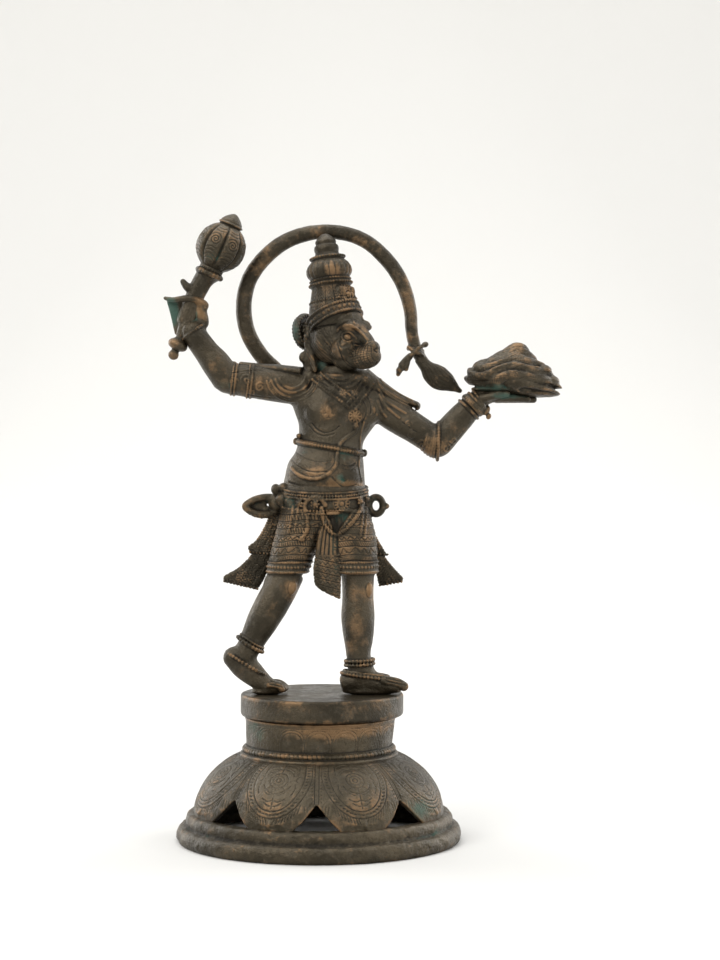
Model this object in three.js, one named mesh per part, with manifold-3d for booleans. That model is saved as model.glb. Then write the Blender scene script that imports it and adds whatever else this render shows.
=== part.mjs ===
// A cast bronze figure of a striding monkey deity with a mace and a mountain, on a lotus pedestal.
// Millimetres, +Z up, seen from -Y. The figure stands on its own round plate, and the plate rests
// on the neck of a hollow pedestal whose eight petals come down on a stepped ring.
import * as THREE from "three";
import { mergeVertices } from "three/addons/utils/BufferGeometryUtils.js";
import Module from "manifold-3d";

const wasm = await Module();
wasm.setup();

// Driving sizes of the figure and its plate.
const FIGURE_HEIGHT = 225; // top of the plate to the crest of the tail
const PLATE_RADIUS = 39.1;
const PLATE_HEIGHT = 10.6;
const PLATE_BEVEL = 1.2; // along its lower edge
const PLATE_ROUND = 0.6; // along its upper edge
const PLATE_OFFSET = 1.5; // the plate sits a little off the pedestal's axis
const SEAM = 0.3; // open joint between the plate and the pedestal's neck

// Driving sizes of the pedestal.
const RING_RADIUS = 68.4;
const RING_HEIGHT = 8;
const RING_ROUND = 2.4;
const RING_WALL = 4.5;
const STEP_RADIUS = 64;
const STEP_HEIGHT = 6;
const DOME_FOOT_RADIUS = 61;
const DOME_TOP_RADIUS = 38.6;
const DOME_HEIGHT = 27;
const DOME_LEANNESS = 1.65; // 1 makes the dome's section a quarter ellipse
const WALL = 3.2;
const PETALS = 8;
const PETAL_GROOVE = 1.7; // depth of the valley between two petals
const PETAL_CROWDING = 2.4; // degrees by which the petals next to the middle one come forward
const WINDOW_WIDTH = 23;
const WINDOW_HEIGHT = 11;
const NECK_HEIGHT = 18.4;
const NECK_FOOT_RADIUS = 35;
const NECK_TOP_RADIUS = 36.2;
const NECK_ROOF = 3; // thickness of the plate that closes the neck
const NECK_OFFSET = 0.7; // the neck leans out of true like the plate
const FILLET_RADIUS = 38; // plain moulding under the beaded one
const FILLET_HEIGHT = 1.5;
const BEADING_RADIUS = 36.9;
const BEADING_HEIGHT = 3;

// Resolution.
const SEGMENTS_PER_PETAL = 4;
const TURNED_SEGMENTS = 10;
const PLATE_SEGMENTS = 32;
const DOME_STEPS = 5;
const DOME_INSIDE_STEPS = 2;

// The figure is drawn on its own scale, with DRAWN_UNITS from the plate to the tail's crest.
const DRAWN_UNITS = 468;
const FIGURE_SCALE = FIGURE_HEIGHT / DRAWN_UNITS;

const SLIVER = 0.04; // facets smaller than this are merged where pieces cross

const HIDDEN = [0, 0];
const DEPTH = new THREE.Vector3(0, 1, 0);
const UP = new THREE.Vector3(0, 0, 1);
const FORWARD = new THREE.Vector3(1, 0, 0);
const QUARTER_TURN = Math.PI / 2;
const FULL_TURN = 2 * Math.PI;
const END_ANGLE = Math.PI / 3.6; // where the last ring of a rounded end lies
const radians = THREE.MathUtils.degToRad;
const { lerp, smoothstep } = THREE.MathUtils;

// A closed geometry as a solid, turned right side out.
function solidOf(geometry) {
  const bare = geometry.clone();
  bare.deleteAttribute("normal");
  bare.deleteAttribute("uv");
  const merged = mergeVertices(bare, 1e-4);
  const solid = (index) =>
    new wasm.Manifold(
      new wasm.Mesh({
        numProp: 3,
        vertProperties: merged.attributes.position.array,
        triVerts: new Uint32Array(index),
      }),
    );
  const made = solid(merged.index.array);
  return made.volume() > 0 ? made : solid(merged.index.array.slice().reverse());
}

// A solid as a geometry with flat faces.
function geometryOf(solid) {
  const mesh = solid.getMesh();
  const geometry = new THREE.BufferGeometry();
  geometry.setAttribute("position", new THREE.BufferAttribute(mesh.vertProperties, 3));
  geometry.setIndex(new THREE.BufferAttribute(mesh.triVerts, 1));
  const faceted = geometry.toNonIndexed();
  faceted.computeVertexNormals();
  return faceted;
}

function joined(solids) {
  return solids.reduce((whole, piece) => whole.add(piece));
}

// The solid without the small voids that are closed in where its pieces cross.
function withoutVoids(solid) {
  return joined(solid.decompose().filter((shell) => shell.volume() > 0));
}

// A skin over rings that have the same number of points. It closes on itself, or ends in two points.
function skin(rings, poles) {
  const sides = rings[0].length;
  const points = rings.flat().concat(poles ?? []);
  const index = [];
  const count = poles ? rings.length - 1 : rings.length;
  for (let i = 0; i < count; i += 1) {
    const a = i * sides;
    const b = ((i + 1) % rings.length) * sides;
    for (let j = 0; j < sides; j += 1) {
      const k = (j + 1) % sides;
      index.push(a + j, b + j, b + k, a + j, b + k, a + k);
    }
  }
  if (poles) {
    const last = (rings.length - 1) * sides;
    const first = rings.length * sides;
    for (let j = 0; j < sides; j += 1) {
      const k = (j + 1) % sides;
      index.push(first, j, k, first + 1, last + k, last + j);
    }
  }
  const geometry = new THREE.BufferGeometry().setFromPoints(points);
  geometry.setIndex(index);
  return geometry;
}

// A limb: rows are [x, y, z, half width across the view, half depth along it]. Each end is flat at 0,
// as where it is hidden in another piece, and rounded at 1. A level limb keeps its sections horizontal.
function limb(rows, { sides = 8, ends = [0, 1], level = false } = {}) {
  const centres = rows.map(([x, y, z]) => new THREE.Vector3(x, y, z));
  const last = centres.length - 1;
  const frames = centres.map((_, i) => {
    const path = centres[Math.min(i + 1, last)].clone().sub(centres[Math.max(i - 1, 0)]).normalize();
    const along = level ? UP : path;
    const depth = DEPTH.clone().addScaledVector(along, -DEPTH.dot(along)).normalize();
    return { along, depth, side: depth.clone().cross(along) };
  });
  const ring = (i, shift, share) => {
    const { along, depth, side } = frames[i];
    const [, , , across, thick] = rows[i];
    return Array.from({ length: sides }, (_, j) => {
      const angle = (j * FULL_TURN) / sides;
      return centres[i]
        .clone()
        .addScaledVector(along, shift)
        .addScaledVector(side, Math.cos(angle) * across * share)
        .addScaledVector(depth, Math.sin(angle) * thick * share);
    });
  };
  const low = ends[0] * Math.min(rows[0][3], rows[0][4]);
  const high = ends[1] * Math.min(rows[last][3], rows[last][4]);
  const rings = centres.map((_, i) => ring(i, 0, 1));
  if (low > 0) {
    rings.unshift(ring(0, -low * Math.sin(END_ANGLE), Math.cos(END_ANGLE)));
  }
  if (high > 0) {
    rings.push(ring(last, high * Math.sin(END_ANGLE), Math.cos(END_ANGLE)));
  }
  const poles = [
    centres[0].clone().addScaledVector(frames[0].along, -low),
    centres[last].clone().addScaledVector(frames[last].along, high),
  ];
  return solidOf(skin(rings, poles));
}

// A round cord through points, all of one thickness.
function cord(points, radius, options = {}) {
  return limb(
    points.map((p) => [...p, radius, radius]),
    { sides: 6, ...options },
  );
}

// A lump: a sphere stretched to three half sizes and turned in the plane of the view.
function lump([x, y, z], [a, b, c], { turn = 0, columns = 8, rows = 5 } = {}) {
  const geometry = new THREE.SphereGeometry(1, columns, rows);
  geometry.rotateX(QUARTER_TURN);
  geometry.scale(a, b, c);
  geometry.rotateY(radians(-turn));
  geometry.translate(x, y, z);
  return solidOf(geometry);
}

// A flat stone with a rounded rim, wider than it is deep.
function slab([x, y, z], [a, b, c], turn) {
  const rim = [[-1, 0], [-1, 0.88], [0.1, 1], [1, 0.78], [1, 0]];
  const profile = rim.map(([t, r]) => new THREE.Vector2(r, t));
  const geometry = new THREE.LatheGeometry(profile, TURNED_SEGMENTS);
  geometry.rotateX(QUARTER_TURN);
  geometry.scale(a, b, c);
  geometry.rotateY(radians(-turn));
  geometry.translate(x, y, z);
  return solidOf(geometry);
}

// A hoop: centre, the two half sizes of its path, the half thickness of its bar, and how it is tilted.
function hoop([x, y, z], [across, deep], thick, { nod = 0, tilt = 0, around = 10, sides = 4 } = {}) {
  const rings = Array.from({ length: around }, (_, i) => {
    const turn = (i * FULL_TURN) / around;
    return Array.from({ length: sides }, (_, j) => {
      const angle = ((j + 0.5) * FULL_TURN) / sides;
      const out = thick * Math.cos(angle);
      return new THREE.Vector3(
        (across + out) * Math.cos(turn),
        (deep + out) * Math.sin(turn),
        thick * Math.sin(angle),
      );
    });
  });
  const geometry = skin(rings);
  geometry.rotateX(radians(nod));
  geometry.rotateY(radians(-tilt));
  geometry.translate(x, y, z);
  return solidOf(geometry);
}

// A turned piece about an axis from one point towards another, from rows of [distance along, radius].
function turned(from, to, rows, segments = TURNED_SEGMENTS) {
  const axis = to.clone().sub(from).normalize();
  const profile = rows.map(([t, r]) => new THREE.Vector2(r, t));
  const geometry = new THREE.LatheGeometry(profile, segments);
  geometry.applyQuaternion(new THREE.Quaternion().setFromUnitVectors(DEPTH, axis));
  geometry.translate(from.x, from.y, from.z);
  return solidOf(geometry);
}

// Trunk with its belt and waist band, neck with its collar, chest and belly.
function torso() {
  const trunk = [
    [2, 2, 168, 43, 31],
    [2, 2, 185, 42, 33],
    [2, 1, 187, 44, 35.5],
    [2, 1, 206, 43.5, 35],
    [2.5, 1, 208, 40.5, 31],
    [4, -1, 230, 37.5, 28],
    [7, -1, 240, 33, 24],
    [8, -1, 242, 34, 26],
    [8.5, -1, 248, 34.5, 26],
    [9.5, -1, 250, 32.5, 23],
    [15, 0, 268, 38.5, 24],
    [15, 0, 290, 45, 25],
    [18, 0, 300, 42, 23],
    [19, 0, 309, 30, 17],
  ];
  const neck = [
    [20, 0, 306, 22, 18],
    [20, -1, 313, 25, 21],
    [19, -1, 319, 21, 18],
    [17, -2, 322, 15, 14],
    [14, -3, 336, 15, 14],
  ];
  return [
    limb(trunk, { sides: 10, ends: HIDDEN, level: true }),
    limb(neck, { ends: HIDDEN, level: true }),
    lump([3, -14, 280], [21, 13, 17]),
    lump([43, -11, 282], [17, 13, 17]),
    lump([7, -13, 221], [30, 19, 18]),
    lump([2, 20, 184], [38, 17, 22]),
    lump([-10, 4, 334], [12, 13, 20]),
  ];
}

// Short breeches with broad hems, knee plates, anklets, and feet on thin pads. The rear heel is raised.
function legs() {
  const rearBreech = [
    [-12, -1, 184, 29, 30],
    [-24, -4, 154, 25, 26],
    [-30, -6, 137, 20.5, 21],
    [-31, -6, 135, 23, 23],
    [-37, -7, 118, 22.5, 22],
  ];
  const frontBreech = [
    [20, -1, 184, 27, 30],
    [27, -5, 154, 26, 27],
    [29, -7, 138, 23.5, 24],
    [29.5, -7, 136, 26, 26],
    [31, -8, 121, 25, 25],
  ];
  const rearLeg = [
    [-32, -8, 122, 16, 16],
    [-48, -12, 92, 17, 17],
    [-58, -13, 74, 16, 16],
    [-67, -14, 57, 13.5, 13.5],
    [-70, -14, 51, 12.5, 12.5],
    [-71, -14, 50, 15.5, 14.5],
    [-74, -15, 44, 15.5, 14.5],
    [-75, -15, 43, 12, 12],
    [-78, -15, 34, 14, 11],
  ];
  const rearFoot = [
    [-88, -15, 37, 11, 10],
    [-77, -15, 28, 13.5, 10.5],
    [-67, -15, 19, 11.5, 10.5],
    [-58, -15, 12, 9, 11],
    [-48, -15, 8, 6.3, 11.5],
    [-38, -15, 6.5, 4.4, 11],
  ];
  const frontLeg = [
    [35.5, -9, 122, 16.5, 16.5],
    [35.8, -10, 98, 15.5, 15.5],
    [35.8, -11, 76, 16.8, 16.3],
    [36.3, -12, 56, 15, 14.5],
    [36.5, -13, 37, 12, 12],
    [37, -13, 36, 15.5, 15],
    [37, -13, 29, 15.5, 15],
    [38, -13, 28, 13, 12],
    [41, -13, 14, 15, 11],
  ];
  const frontFoot = [
    [23, -13, 9.5, 8.5, 7.5],
    [36, -13, 12, 11.5, 10],
    [50, -13, 11.5, 11, 10.5],
    [61, -13, 10, 9.5, 11],
    [71, -13, 9.2, 8, 11.5],
    [80, -13, 8.8, 6.3, 10.5],
    [84, -13, 8.6, 4, 8],
  ];
  const rearPad = [
    [-66, -15, 2, 3, 9],
    [-38, -15, 2, 3, 10],
  ];
  const frontPad = [
    [22, -13, 2, 3, 9],
    [76, -13, 2, 3, 11],
  ];
  const shinPlate = { columns: 6, rows: 4 };
  return [
    limb(rearBreech, { sides: 10, ends: HIDDEN }),
    limb(frontBreech, { sides: 10, ends: HIDDEN }),
    limb(rearLeg, { ends: HIDDEN }),
    limb(rearFoot, { ends: [1, 1] }),
    limb(frontLeg, { ends: HIDDEN }),
    limb(frontFoot, { ends: [1, 0.6] }),
    hoop([41, -13, 19], [22, 12], 2.6, { tilt: -6 }),
    hoop([-76, -15, 30], [18, 11.5], 2.6, { tilt: -37 }),
    lump([-28, -24, 106], [8, 6, 10], { turn: -24, ...shinPlate }),
    lump([46, -22, 101], [8, 6, 10], shinPlate),
    limb(rearPad, { sides: 6, ends: HIDDEN }),
    limb(frontPad, { sides: 6, ends: HIDDEN }),
  ];
}

// Bow, knots, the hanging ends of the sash, the garland and the cloth end between the legs.
function sash() {
  const KNOT = { columns: 6, rows: 4 };
  const rearEnd = [
    [-38, 2, 196, 9, 9],
    [-48, 7, 178, 8, 6],
    [-54, 9, 162, 7.5, 5],
    [-60, 10, 147, 11.5, 5],
    [-64, 10, 133, 12, 4.5],
    [-71, 11, 119, 14.5, 4.5],
    [-80, 12, 106, 18.5, 4],
  ];
  const frontEnd = [
    [40, 8, 178, 8, 6],
    [47, 9, 152, 8, 4.5],
    [57, 10, 134, 8, 4.5],
    [62, 11, 122, 9.5, 4.5],
    [70, 12, 107, 14.5, 4],
  ];
  const clothEnd = [
    [13, -24, 172, 8, 9],
    [9, -24, 150, 11, 7],
    [5, -24, 125, 13.5, 6],
    [8, -23, 111, 12, 5],
    [14, -22, 98, 3, 4],
  ];
  const garland = [
    [-4, -30, 188],
    [6, -34, 168],
    [20, -35, 160],
    [32, -32, 170],
    [38, -27, 190],
  ];
  return [
    limb(rearEnd, { sides: 6, ends: HIDDEN }),
    limb(frontEnd, { sides: 6, ends: HIDDEN }),
    limb(clothEnd, { sides: 6 }),
    cord(garland, 3.4, { sides: 5, ends: HIDDEN }),
    lump([-57, 4, 188], [13, 8, 12], KNOT),
    lump([-72, 3, 185], [8, 6, 10], { turn: 20, ...KNOT }),
    hoop([52, 4, 186], [6.5, 8], 4.8, { nod: 84, around: 8 }),
    lump([-40, -6, 198], [10, 12, 9], KNOT),
    lump([16, -35, 190], [10, 5, 8], KNOT),
  ];
}

// Pendant, and the stole that lies over both shoulders.
function chest() {
  const rearFall = [
    [-20, 0, 320, 5, 15],
    [-44, 2, 323, 5, 14],
    [-66, 4, 325, 4.5, 12],
    [-82, 5, 328, 3, 8],
  ];
  const frontFall = [
    [40, -4, 314, 11, 16],
    [60, 0, 302, 8, 15],
    [78, 2, 293, 5, 12],
    [95, 4, 287, 4, 8],
  ];
  return [
    limb(rearFall, { sides: 6, ends: [0, 0.4] }),
    limb(frontFall, { sides: 6, ends: [0, 0.4] }),
    lump([34, -26, 276], [6.5, 5, 9], { columns: 6, rows: 4 }),
  ];
}

// The raised arm with the mace.
function maceArm() {
  const mace = [
    [0, 0],
    [6, 5],
    [10, 4],
    [13, 9.5],
    [19, 9.5],
    [24, 5.5],
    [34, 7.5],
    [85, 7],
    [89, 12],
    [98, 12.5],
    [105, 19.5],
    [113, 24],
    [124, 25],
    [134, 22.5],
    [141, 17],
    [148, 11],
    [158.5, 0],
  ];
  const upperArm = [
    [-16, 0, 303, 17, 17],
    [-36, -1, 306, 17.5, 17],
    [-68, -3, 310, 16.5, 16],
    [-94, -4, 313, 15, 15],
  ];
  const forearm = [
    [-94, -4, 312, 15.5, 15],
    [-107, -5, 330, 14.5, 15],
    [-115, -5, 340, 13, 14],
    [-116, -5, 341, 15, 16],
    [-120, -6, 347, 15, 15.5],
    [-121, -6, 348, 12.5, 13],
    [-129, -7, 360, 12, 13],
  ];
  const fin = [
    [-157, -5, 394, 2.5, 5],
    [-149, -5, 388, 6, 8],
    [-144, -5, 372, 7, 8],
    [-142, -5, 356, 4, 5],
  ];
  const thumb = [
    [-128, -10, 401, 8, 7],
    [-140, -8, 410, 3, 4],
  ];
  const hand = [
    [-128, -8, 358, 12, 12],
    [-131, -8, 370, 15, 15],
    [-130.5, -8, 386, 15, 15],
    [-131, -8, 397, 11, 12],
  ];
  const foot = new THREE.Vector3(-150, -6, 332);
  const tip = new THREE.Vector3(-86, -6, 477);
  return [
    turned(foot, tip, mace),
    limb(upperArm),
    limb(forearm),
    limb(hand),
    limb(fin, { sides: 6, ends: HIDDEN }),
    limb(thumb, { sides: 6 }),
  ];
}

// The lowered arm with the mountain on its open hand.
function mountainArm() {
  const upperArm = [
    [47, 0, 296, 17, 17],
    [72, -2, 277, 16.5, 16],
    [96, -3, 261.5, 15, 15],
    [97, -3, 261, 16.5, 17.5],
    [107, -4, 255, 16.5, 17.5],
    [108, -4, 254, 15, 15],
    [115, -4, 249, 14.5, 14.5],
  ];
  const forearm = [
    [116, -4, 249, 14.5, 14],
    [137, -4, 273, 13.5, 13],
    [143, -4, 279, 13, 12.5],
    [144, -4, 280, 15.5, 15],
    [149, -4, 285, 15.5, 15],
    [150, -4, 286, 12.5, 12],
    [165, -4, 294, 7.5, 13],
    [188, -4, 292, 5, 14],
  ];
  const pieces = [limb(upperArm), limb(forearm, { ends: HIDDEN })];
  const FINGERS = 4;
  const SPREAD = 6.6;
  for (let i = 0; i < FINGERS; i += 1) {
    const y = -4 + (i - (FINGERS - 1) / 2) * SPREAD;
    const finger = [
      [186, y, 292, 3.8, 3.6],
      [207, y, 290.5, 3.3, 3.2],
    ];
    pieces.push(limb(finger, { sides: 4 }));
  }
  const slabs = [
    [[190, -4, 303.5], [46, 30, 7], -4],
    [[186, -4, 314], [45, 28, 7], 0],
    [[184, -4, 323], [36, 24, 6.5], 0],
    [[188, -4, 332], [25, 18, 6.5], 0],
    [[193, -4, 339.5], [14, 12, 7], 4],
  ];
  const knobs = [
    [[222, -6, 319], 8],
    [[227, -4, 309], 8.5],
    [[234, -4, 302.5], 6],
    [[152, -4, 313], 10],
    [[162, -4, 282], 5.5],
    [[114, -4, 239], 5.5],
  ];
  pieces.push(...slabs.map(([at, half, turn]) => slab(at, half, turn)));
  pieces.push(...knobs.map(([at, r]) => lump(at, [r, 1.7 * r, r], { columns: 6, rows: 4 })));
  return pieces;
}

// Head, crown and the wheel behind it, drawn with the face along +X and then turned and tipped back.
function head() {
  const YAW = radians(-40);
  const PITCH = radians(-9);
  const place = new THREE.Matrix4()
    .makeTranslation(12, -6, 354)
    .multiply(new THREE.Matrix4().makeRotationZ(YAW))
    .multiply(new THREE.Matrix4().makeRotationY(PITCH));
  const crown = [
    [10, 0],
    [10, 25],
    [17, 28],
    [31, 27],
    [35, 23],
    [51, 19.5],
    [54, 21.5],
    [57, 19.5],
    [64, 24],
    [71, 22.5],
    [79, 16.5],
    [84, 13],
    [94, 13],
    [105, 0],
  ];
  const BOSS = { columns: 6, rows: 4 };
  const wheel = [
    [-4, 0],
    [-4, 18],
    [0, 20],
    [4, 18],
    [4, 0],
  ];
  const wheelCentre = new THREE.Vector3(-34, 0, 12);
  const wheelStem = [
    [-34, 0, 12, 7, 7],
    [-16, 0, 8, 9, 9],
  ];
  const crownFoot = new THREE.Vector3(4, 0, 0);
  const pieces = [
    lump([0, 0, 0], [26, 24, 27], { columns: 10, rows: 6 }),
    lump([35, 0, -20], [19, 16, 15], { columns: 10, rows: 6 }),
    lump([23, 0, 9], [12, 20, 9]),
    lump([43, 0, -11], [8, 8, 6], BOSS),
    lump([27, 0, 44], [5, 8, 9], BOSS),
    turned(crownFoot, crownFoot.clone().add(UP), crown),
    turned(wheelCentre, wheelCentre.clone().add(FORWARD), wheel),
    limb(wheelStem, { sides: 6, ends: HIDDEN }),
  ];
  [-1, 1].forEach((side) => {
    pieces.push(
      lump([22, side * 13, -16], [15, 9, 13], BOSS),
      lump([2, side * 23, -5], [7, 6, 15], BOSS),
    );
  });
  return pieces.map((piece) => piece.transform(place.elements));
}

// The tail rises behind the back, sweeps over the crown and ends in a tuft, with a bell tied on.
function tail() {
  const path = [
    [0, 24, 190, 8, 8],
    [-4, 38, 232, 8, 8],
    [-16, 41, 276, 7.6, 7.6],
    [-38, 38, 314, 7.5, 7.5],
    [-62.5, 32, 338, 8.2, 7.5],
    [-76, 28, 362, 8, 7.5],
    [-79.5, 25, 388, 8, 7.5],
    [-74.5, 22, 412, 7.9, 7.3],
    [-59.5, 18, 434, 7.9, 7.2],
    [-37, 14, 451.5, 7.9, 7],
    [-14, 13, 459.5, 7.5, 7],
    [12, 13, 461, 7.3, 7],
    [39, 13, 454, 7.3, 7],
    [62.5, 13, 435.5, 7.6, 7],
    [79.5, 13, 411, 7.6, 6.9],
    [88, 13, 384, 7, 6.6],
    [90.5, 12, 357, 6.4, 6.2],
    [92, 11, 347, 6.2, 6.2],
    [92.5, 11, 345, 9, 9],
    [95, 10, 340, 9, 9],
    [96, 10, 338, 6, 6],
    [104, 8, 327, 5.6, 5.6],
  ];
  const tuft = [
    [99, 8, 331, 6, 6],
    [106, 8, 323.5, 9.5, 7],
    [115, 8, 316, 12, 7],
    [126, 8, 309.5, 10, 6],
    [138, 8, 303, 2.5, 3],
  ];
  const bell = [
    [92, 5, 337, 3.5, 3],
    [84, 3, 330, 4, 4],
    [79, 2, 323, 6, 6.5],
    [76, 2, 317, 4, 4],
  ];
  return [
    limb(path, { sides: 7, ends: HIDDEN }),
    limb(tuft, { sides: 6 }),
    limb(bell, { sides: 6 }),
  ];
}

// The round plate that is cast with the figure, with its top at height zero.
function plate() {
  const rows = [
    [0, 0],
    [0, PLATE_RADIUS - PLATE_BEVEL],
    [PLATE_BEVEL, PLATE_RADIUS],
    [PLATE_HEIGHT - PLATE_ROUND, PLATE_RADIUS],
    [PLATE_HEIGHT, PLATE_RADIUS - PLATE_ROUND],
    [PLATE_HEIGHT, 0],
  ];
  const under = new THREE.Vector3(0, 0, -PLATE_HEIGHT);
  return turned(under, new THREE.Vector3(), rows, PLATE_SEGMENTS);
}

function figure() {
  const drawn = [torso(), legs(), sash(), chest(), maceArm(), mountainArm(), head(), tail()].flat();
  const body = joined(drawn).scale(FIGURE_SCALE);
  return withoutVoids(body.add(plate()).simplify(SLIVER));
}

// Height of each level of the pedestal, from the ground up.
const LEVEL = {
  ring: RING_HEIGHT,
  step: RING_HEIGHT + STEP_HEIGHT,
  dome: RING_HEIGHT + STEP_HEIGHT + DOME_HEIGHT,
  neck: RING_HEIGHT + STEP_HEIGHT + DOME_HEIGHT + NECK_HEIGHT,
};

// The dome's section at a share of its height, less an inset.
function domePoint(share, inset) {
  const angle = share * QUARTER_TURN;
  const spread = Math.cos(angle) ** DOME_LEANNESS;
  const radius = lerp(DOME_TOP_RADIUS, DOME_FOOT_RADIUS, spread) - inset;
  return [radius, LEVEL.step + (DOME_HEIGHT - inset) * Math.sin(angle)];
}

// Azimuth of a place on the dome, drawn in towards the front and the back.
function crowded(azimuth) {
  return azimuth - radians(PETAL_CROWDING) * Math.sin(2 * azimuth);
}

// The hollow casting: the profile runs from the roof's inside down and out round the ring, then up.
function pedestal() {
  const shares = (steps) => Array.from({ length: steps + 1 }, (_, i) => i / steps);
  const beading = LEVEL.dome + FILLET_HEIGHT;
  const bore = NECK_FOOT_RADIUS - WALL;
  const profile = [
    [0, LEVEL.neck - NECK_ROOF],
    [bore, LEVEL.neck - NECK_ROOF],
    ...shares(DOME_INSIDE_STEPS)
      .reverse()
      .map((share) => domePoint(share, WALL)),
    [STEP_RADIUS - WALL, LEVEL.step - WALL],
    [RING_RADIUS - RING_WALL, LEVEL.ring - WALL],
    [RING_RADIUS - RING_WALL, 0],
    [RING_RADIUS - 0.4 * RING_ROUND, 0],
    [RING_RADIUS, 0.8 * RING_ROUND],
    [RING_RADIUS - 0.3 * RING_ROUND, LEVEL.ring - 0.8 * RING_ROUND],
    [STEP_RADIUS, LEVEL.ring],
    [STEP_RADIUS - 0.3 * RING_ROUND, LEVEL.step - 0.8 * RING_ROUND],
    [STEP_RADIUS - RING_ROUND, LEVEL.step],
    ...shares(DOME_STEPS).map((share) => domePoint(share, 0)),
    [FILLET_RADIUS, LEVEL.dome + 0.8 * FILLET_HEIGHT],
    [NECK_FOOT_RADIUS + 0.4 * FILLET_HEIGHT, beading],
    [BEADING_RADIUS, beading + 0.3 * BEADING_HEIGHT],
    [BEADING_RADIUS, beading + 0.7 * BEADING_HEIGHT],
    [NECK_FOOT_RADIUS, beading + BEADING_HEIGHT],
    [NECK_TOP_RADIUS, LEVEL.neck],
    [0, LEVEL.neck],
  ].map(([r, z]) => new THREE.Vector2(r, z));
  const geometry = new THREE.LatheGeometry(profile, PETALS * SEGMENTS_PER_PETAL);
  geometry.rotateX(QUARTER_TURN);
  const position = geometry.attributes.position;
  for (let i = 0; i < position.count; i += 1) {
    const [x, y, z] = [position.getX(i), position.getY(i), position.getZ(i)];
    const azimuth = Math.atan2(x, -y);
    const height = (z - LEVEL.step) / DOME_HEIGHT;
    const onDome = height > -0.001 && height < 0.999 && Math.hypot(x, y) <= DOME_FOOT_RADIUS + 0.001;
    const valley = onDome ? (1 - Math.abs(Math.sin((PETALS / 2) * azimuth))) * (1 - height * height) : 0;
    const radius = Math.hypot(x, y) - PETAL_GROOVE * valley;
    const lean = NECK_OFFSET * smoothstep(z, LEVEL.dome, LEVEL.neck);
    position.setXYZ(i, radius * Math.sin(crowded(azimuth)) + lean, -radius * Math.cos(crowded(azimuth)), z);
  }
  return windows().reduce((whole, window) => whole.subtract(window), solidOf(geometry));
}

// The openings between the petals' tips, each a pointed arch cut through the dome's wall.
function windows() {
  const half = WINDOW_WIDTH / 2;
  const outline = new THREE.Shape();
  outline.moveTo(-half, 0);
  outline.lineTo(half, 0);
  outline.quadraticCurveTo(half * 0.54, WINDOW_HEIGHT * 0.42, half * 0.08, WINDOW_HEIGHT);
  outline.lineTo(-half * 0.08, WINDOW_HEIGHT);
  outline.quadraticCurveTo(-half * 0.54, WINDOW_HEIGHT * 0.42, -half, 0);
  const near = 0.75 * DOME_FOOT_RADIUS;
  const depth = 1.1 * DOME_FOOT_RADIUS - near;
  return Array.from({ length: PETALS }, (_, i) => {
    const geometry = new THREE.ExtrudeGeometry(outline, { depth, bevelEnabled: false, curveSegments: 2 });
    geometry.rotateX(QUARTER_TURN);
    geometry.translate(0, -near, LEVEL.step);
    geometry.rotateZ(crowded((i * FULL_TURN) / PETALS));
    return solidOf(geometry);
  });
}

const figureBronze = new THREE.MeshStandardMaterial({ color: 0x4a4238, roughness: 0.5 });
const pedestalBronze = new THREE.MeshStandardMaterial({ color: 0x4c453b, roughness: 0.55 });
figureBronze.metalness = 0.85;
pedestalBronze.metalness = 0.85;

const figureMesh = new THREE.Mesh(geometryOf(figure()), figureBronze);
figureMesh.name = "hanuman_figure";
figureMesh.position.set(PLATE_OFFSET, 0, LEVEL.neck + SEAM + PLATE_HEIGHT);

const pedestalMesh = new THREE.Mesh(geometryOf(pedestal()), pedestalBronze);
pedestalMesh.name = "lotus_pedestal";

// The origin is under the middle of the whole object, on the ground.
const group = new THREE.Group();
group.add(figureMesh, pedestalMesh);
const box = new THREE.Box3().setFromObject(group);
const middle = box.getCenter(new THREE.Vector3());
group.position.set(-middle.x, -middle.y, -box.min.z);

export default group;
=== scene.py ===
import math

import bmesh
import bpy
import numpy as np
from mathutils import Matrix, Vector
from mathutils.bvhtree import BVHTree


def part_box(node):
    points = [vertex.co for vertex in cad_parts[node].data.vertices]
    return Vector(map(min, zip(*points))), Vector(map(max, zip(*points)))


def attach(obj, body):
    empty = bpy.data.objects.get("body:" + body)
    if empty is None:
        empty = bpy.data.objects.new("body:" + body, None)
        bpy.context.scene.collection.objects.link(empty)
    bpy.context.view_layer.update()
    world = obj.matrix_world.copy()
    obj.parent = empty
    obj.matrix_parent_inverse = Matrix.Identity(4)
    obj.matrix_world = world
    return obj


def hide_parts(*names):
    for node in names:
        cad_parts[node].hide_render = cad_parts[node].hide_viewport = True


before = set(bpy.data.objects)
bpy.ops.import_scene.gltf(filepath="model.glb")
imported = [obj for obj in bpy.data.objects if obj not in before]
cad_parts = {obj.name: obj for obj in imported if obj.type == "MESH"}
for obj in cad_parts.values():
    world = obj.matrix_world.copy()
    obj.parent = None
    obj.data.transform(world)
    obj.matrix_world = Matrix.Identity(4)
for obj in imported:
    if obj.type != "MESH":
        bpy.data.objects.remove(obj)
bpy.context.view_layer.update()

# The figure is drawn on its own scale, as its solids are: units across, in depth and up from the
# top of its plate. The pedestal is drawn in millimetres from the middle of its foot.
MM = 0.001
FIGURE_HEIGHT = 225
DRAWN_UNITS = 468
UNIT = FIGURE_HEIGHT / DRAWN_UNITS
PLATE_RADIUS = 39.1
PLATE_HEIGHT = 10.6
PLATE_BEVEL = 1.2
PLATE_ROUND = 0.6
PLATE_OFFSET = 1.5
RING_HEIGHT = 8
STEP_HEIGHT = 6
DOME_FOOT_RADIUS = 61
DOME_TOP_RADIUS = 38.6
DOME_HEIGHT = 27
DOME_LEANNESS = 1.65
WALL = 3.2
PETALS = 8
PETAL_GROOVE = 1.7
PETAL_CROWDING = math.radians(2.4)
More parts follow.
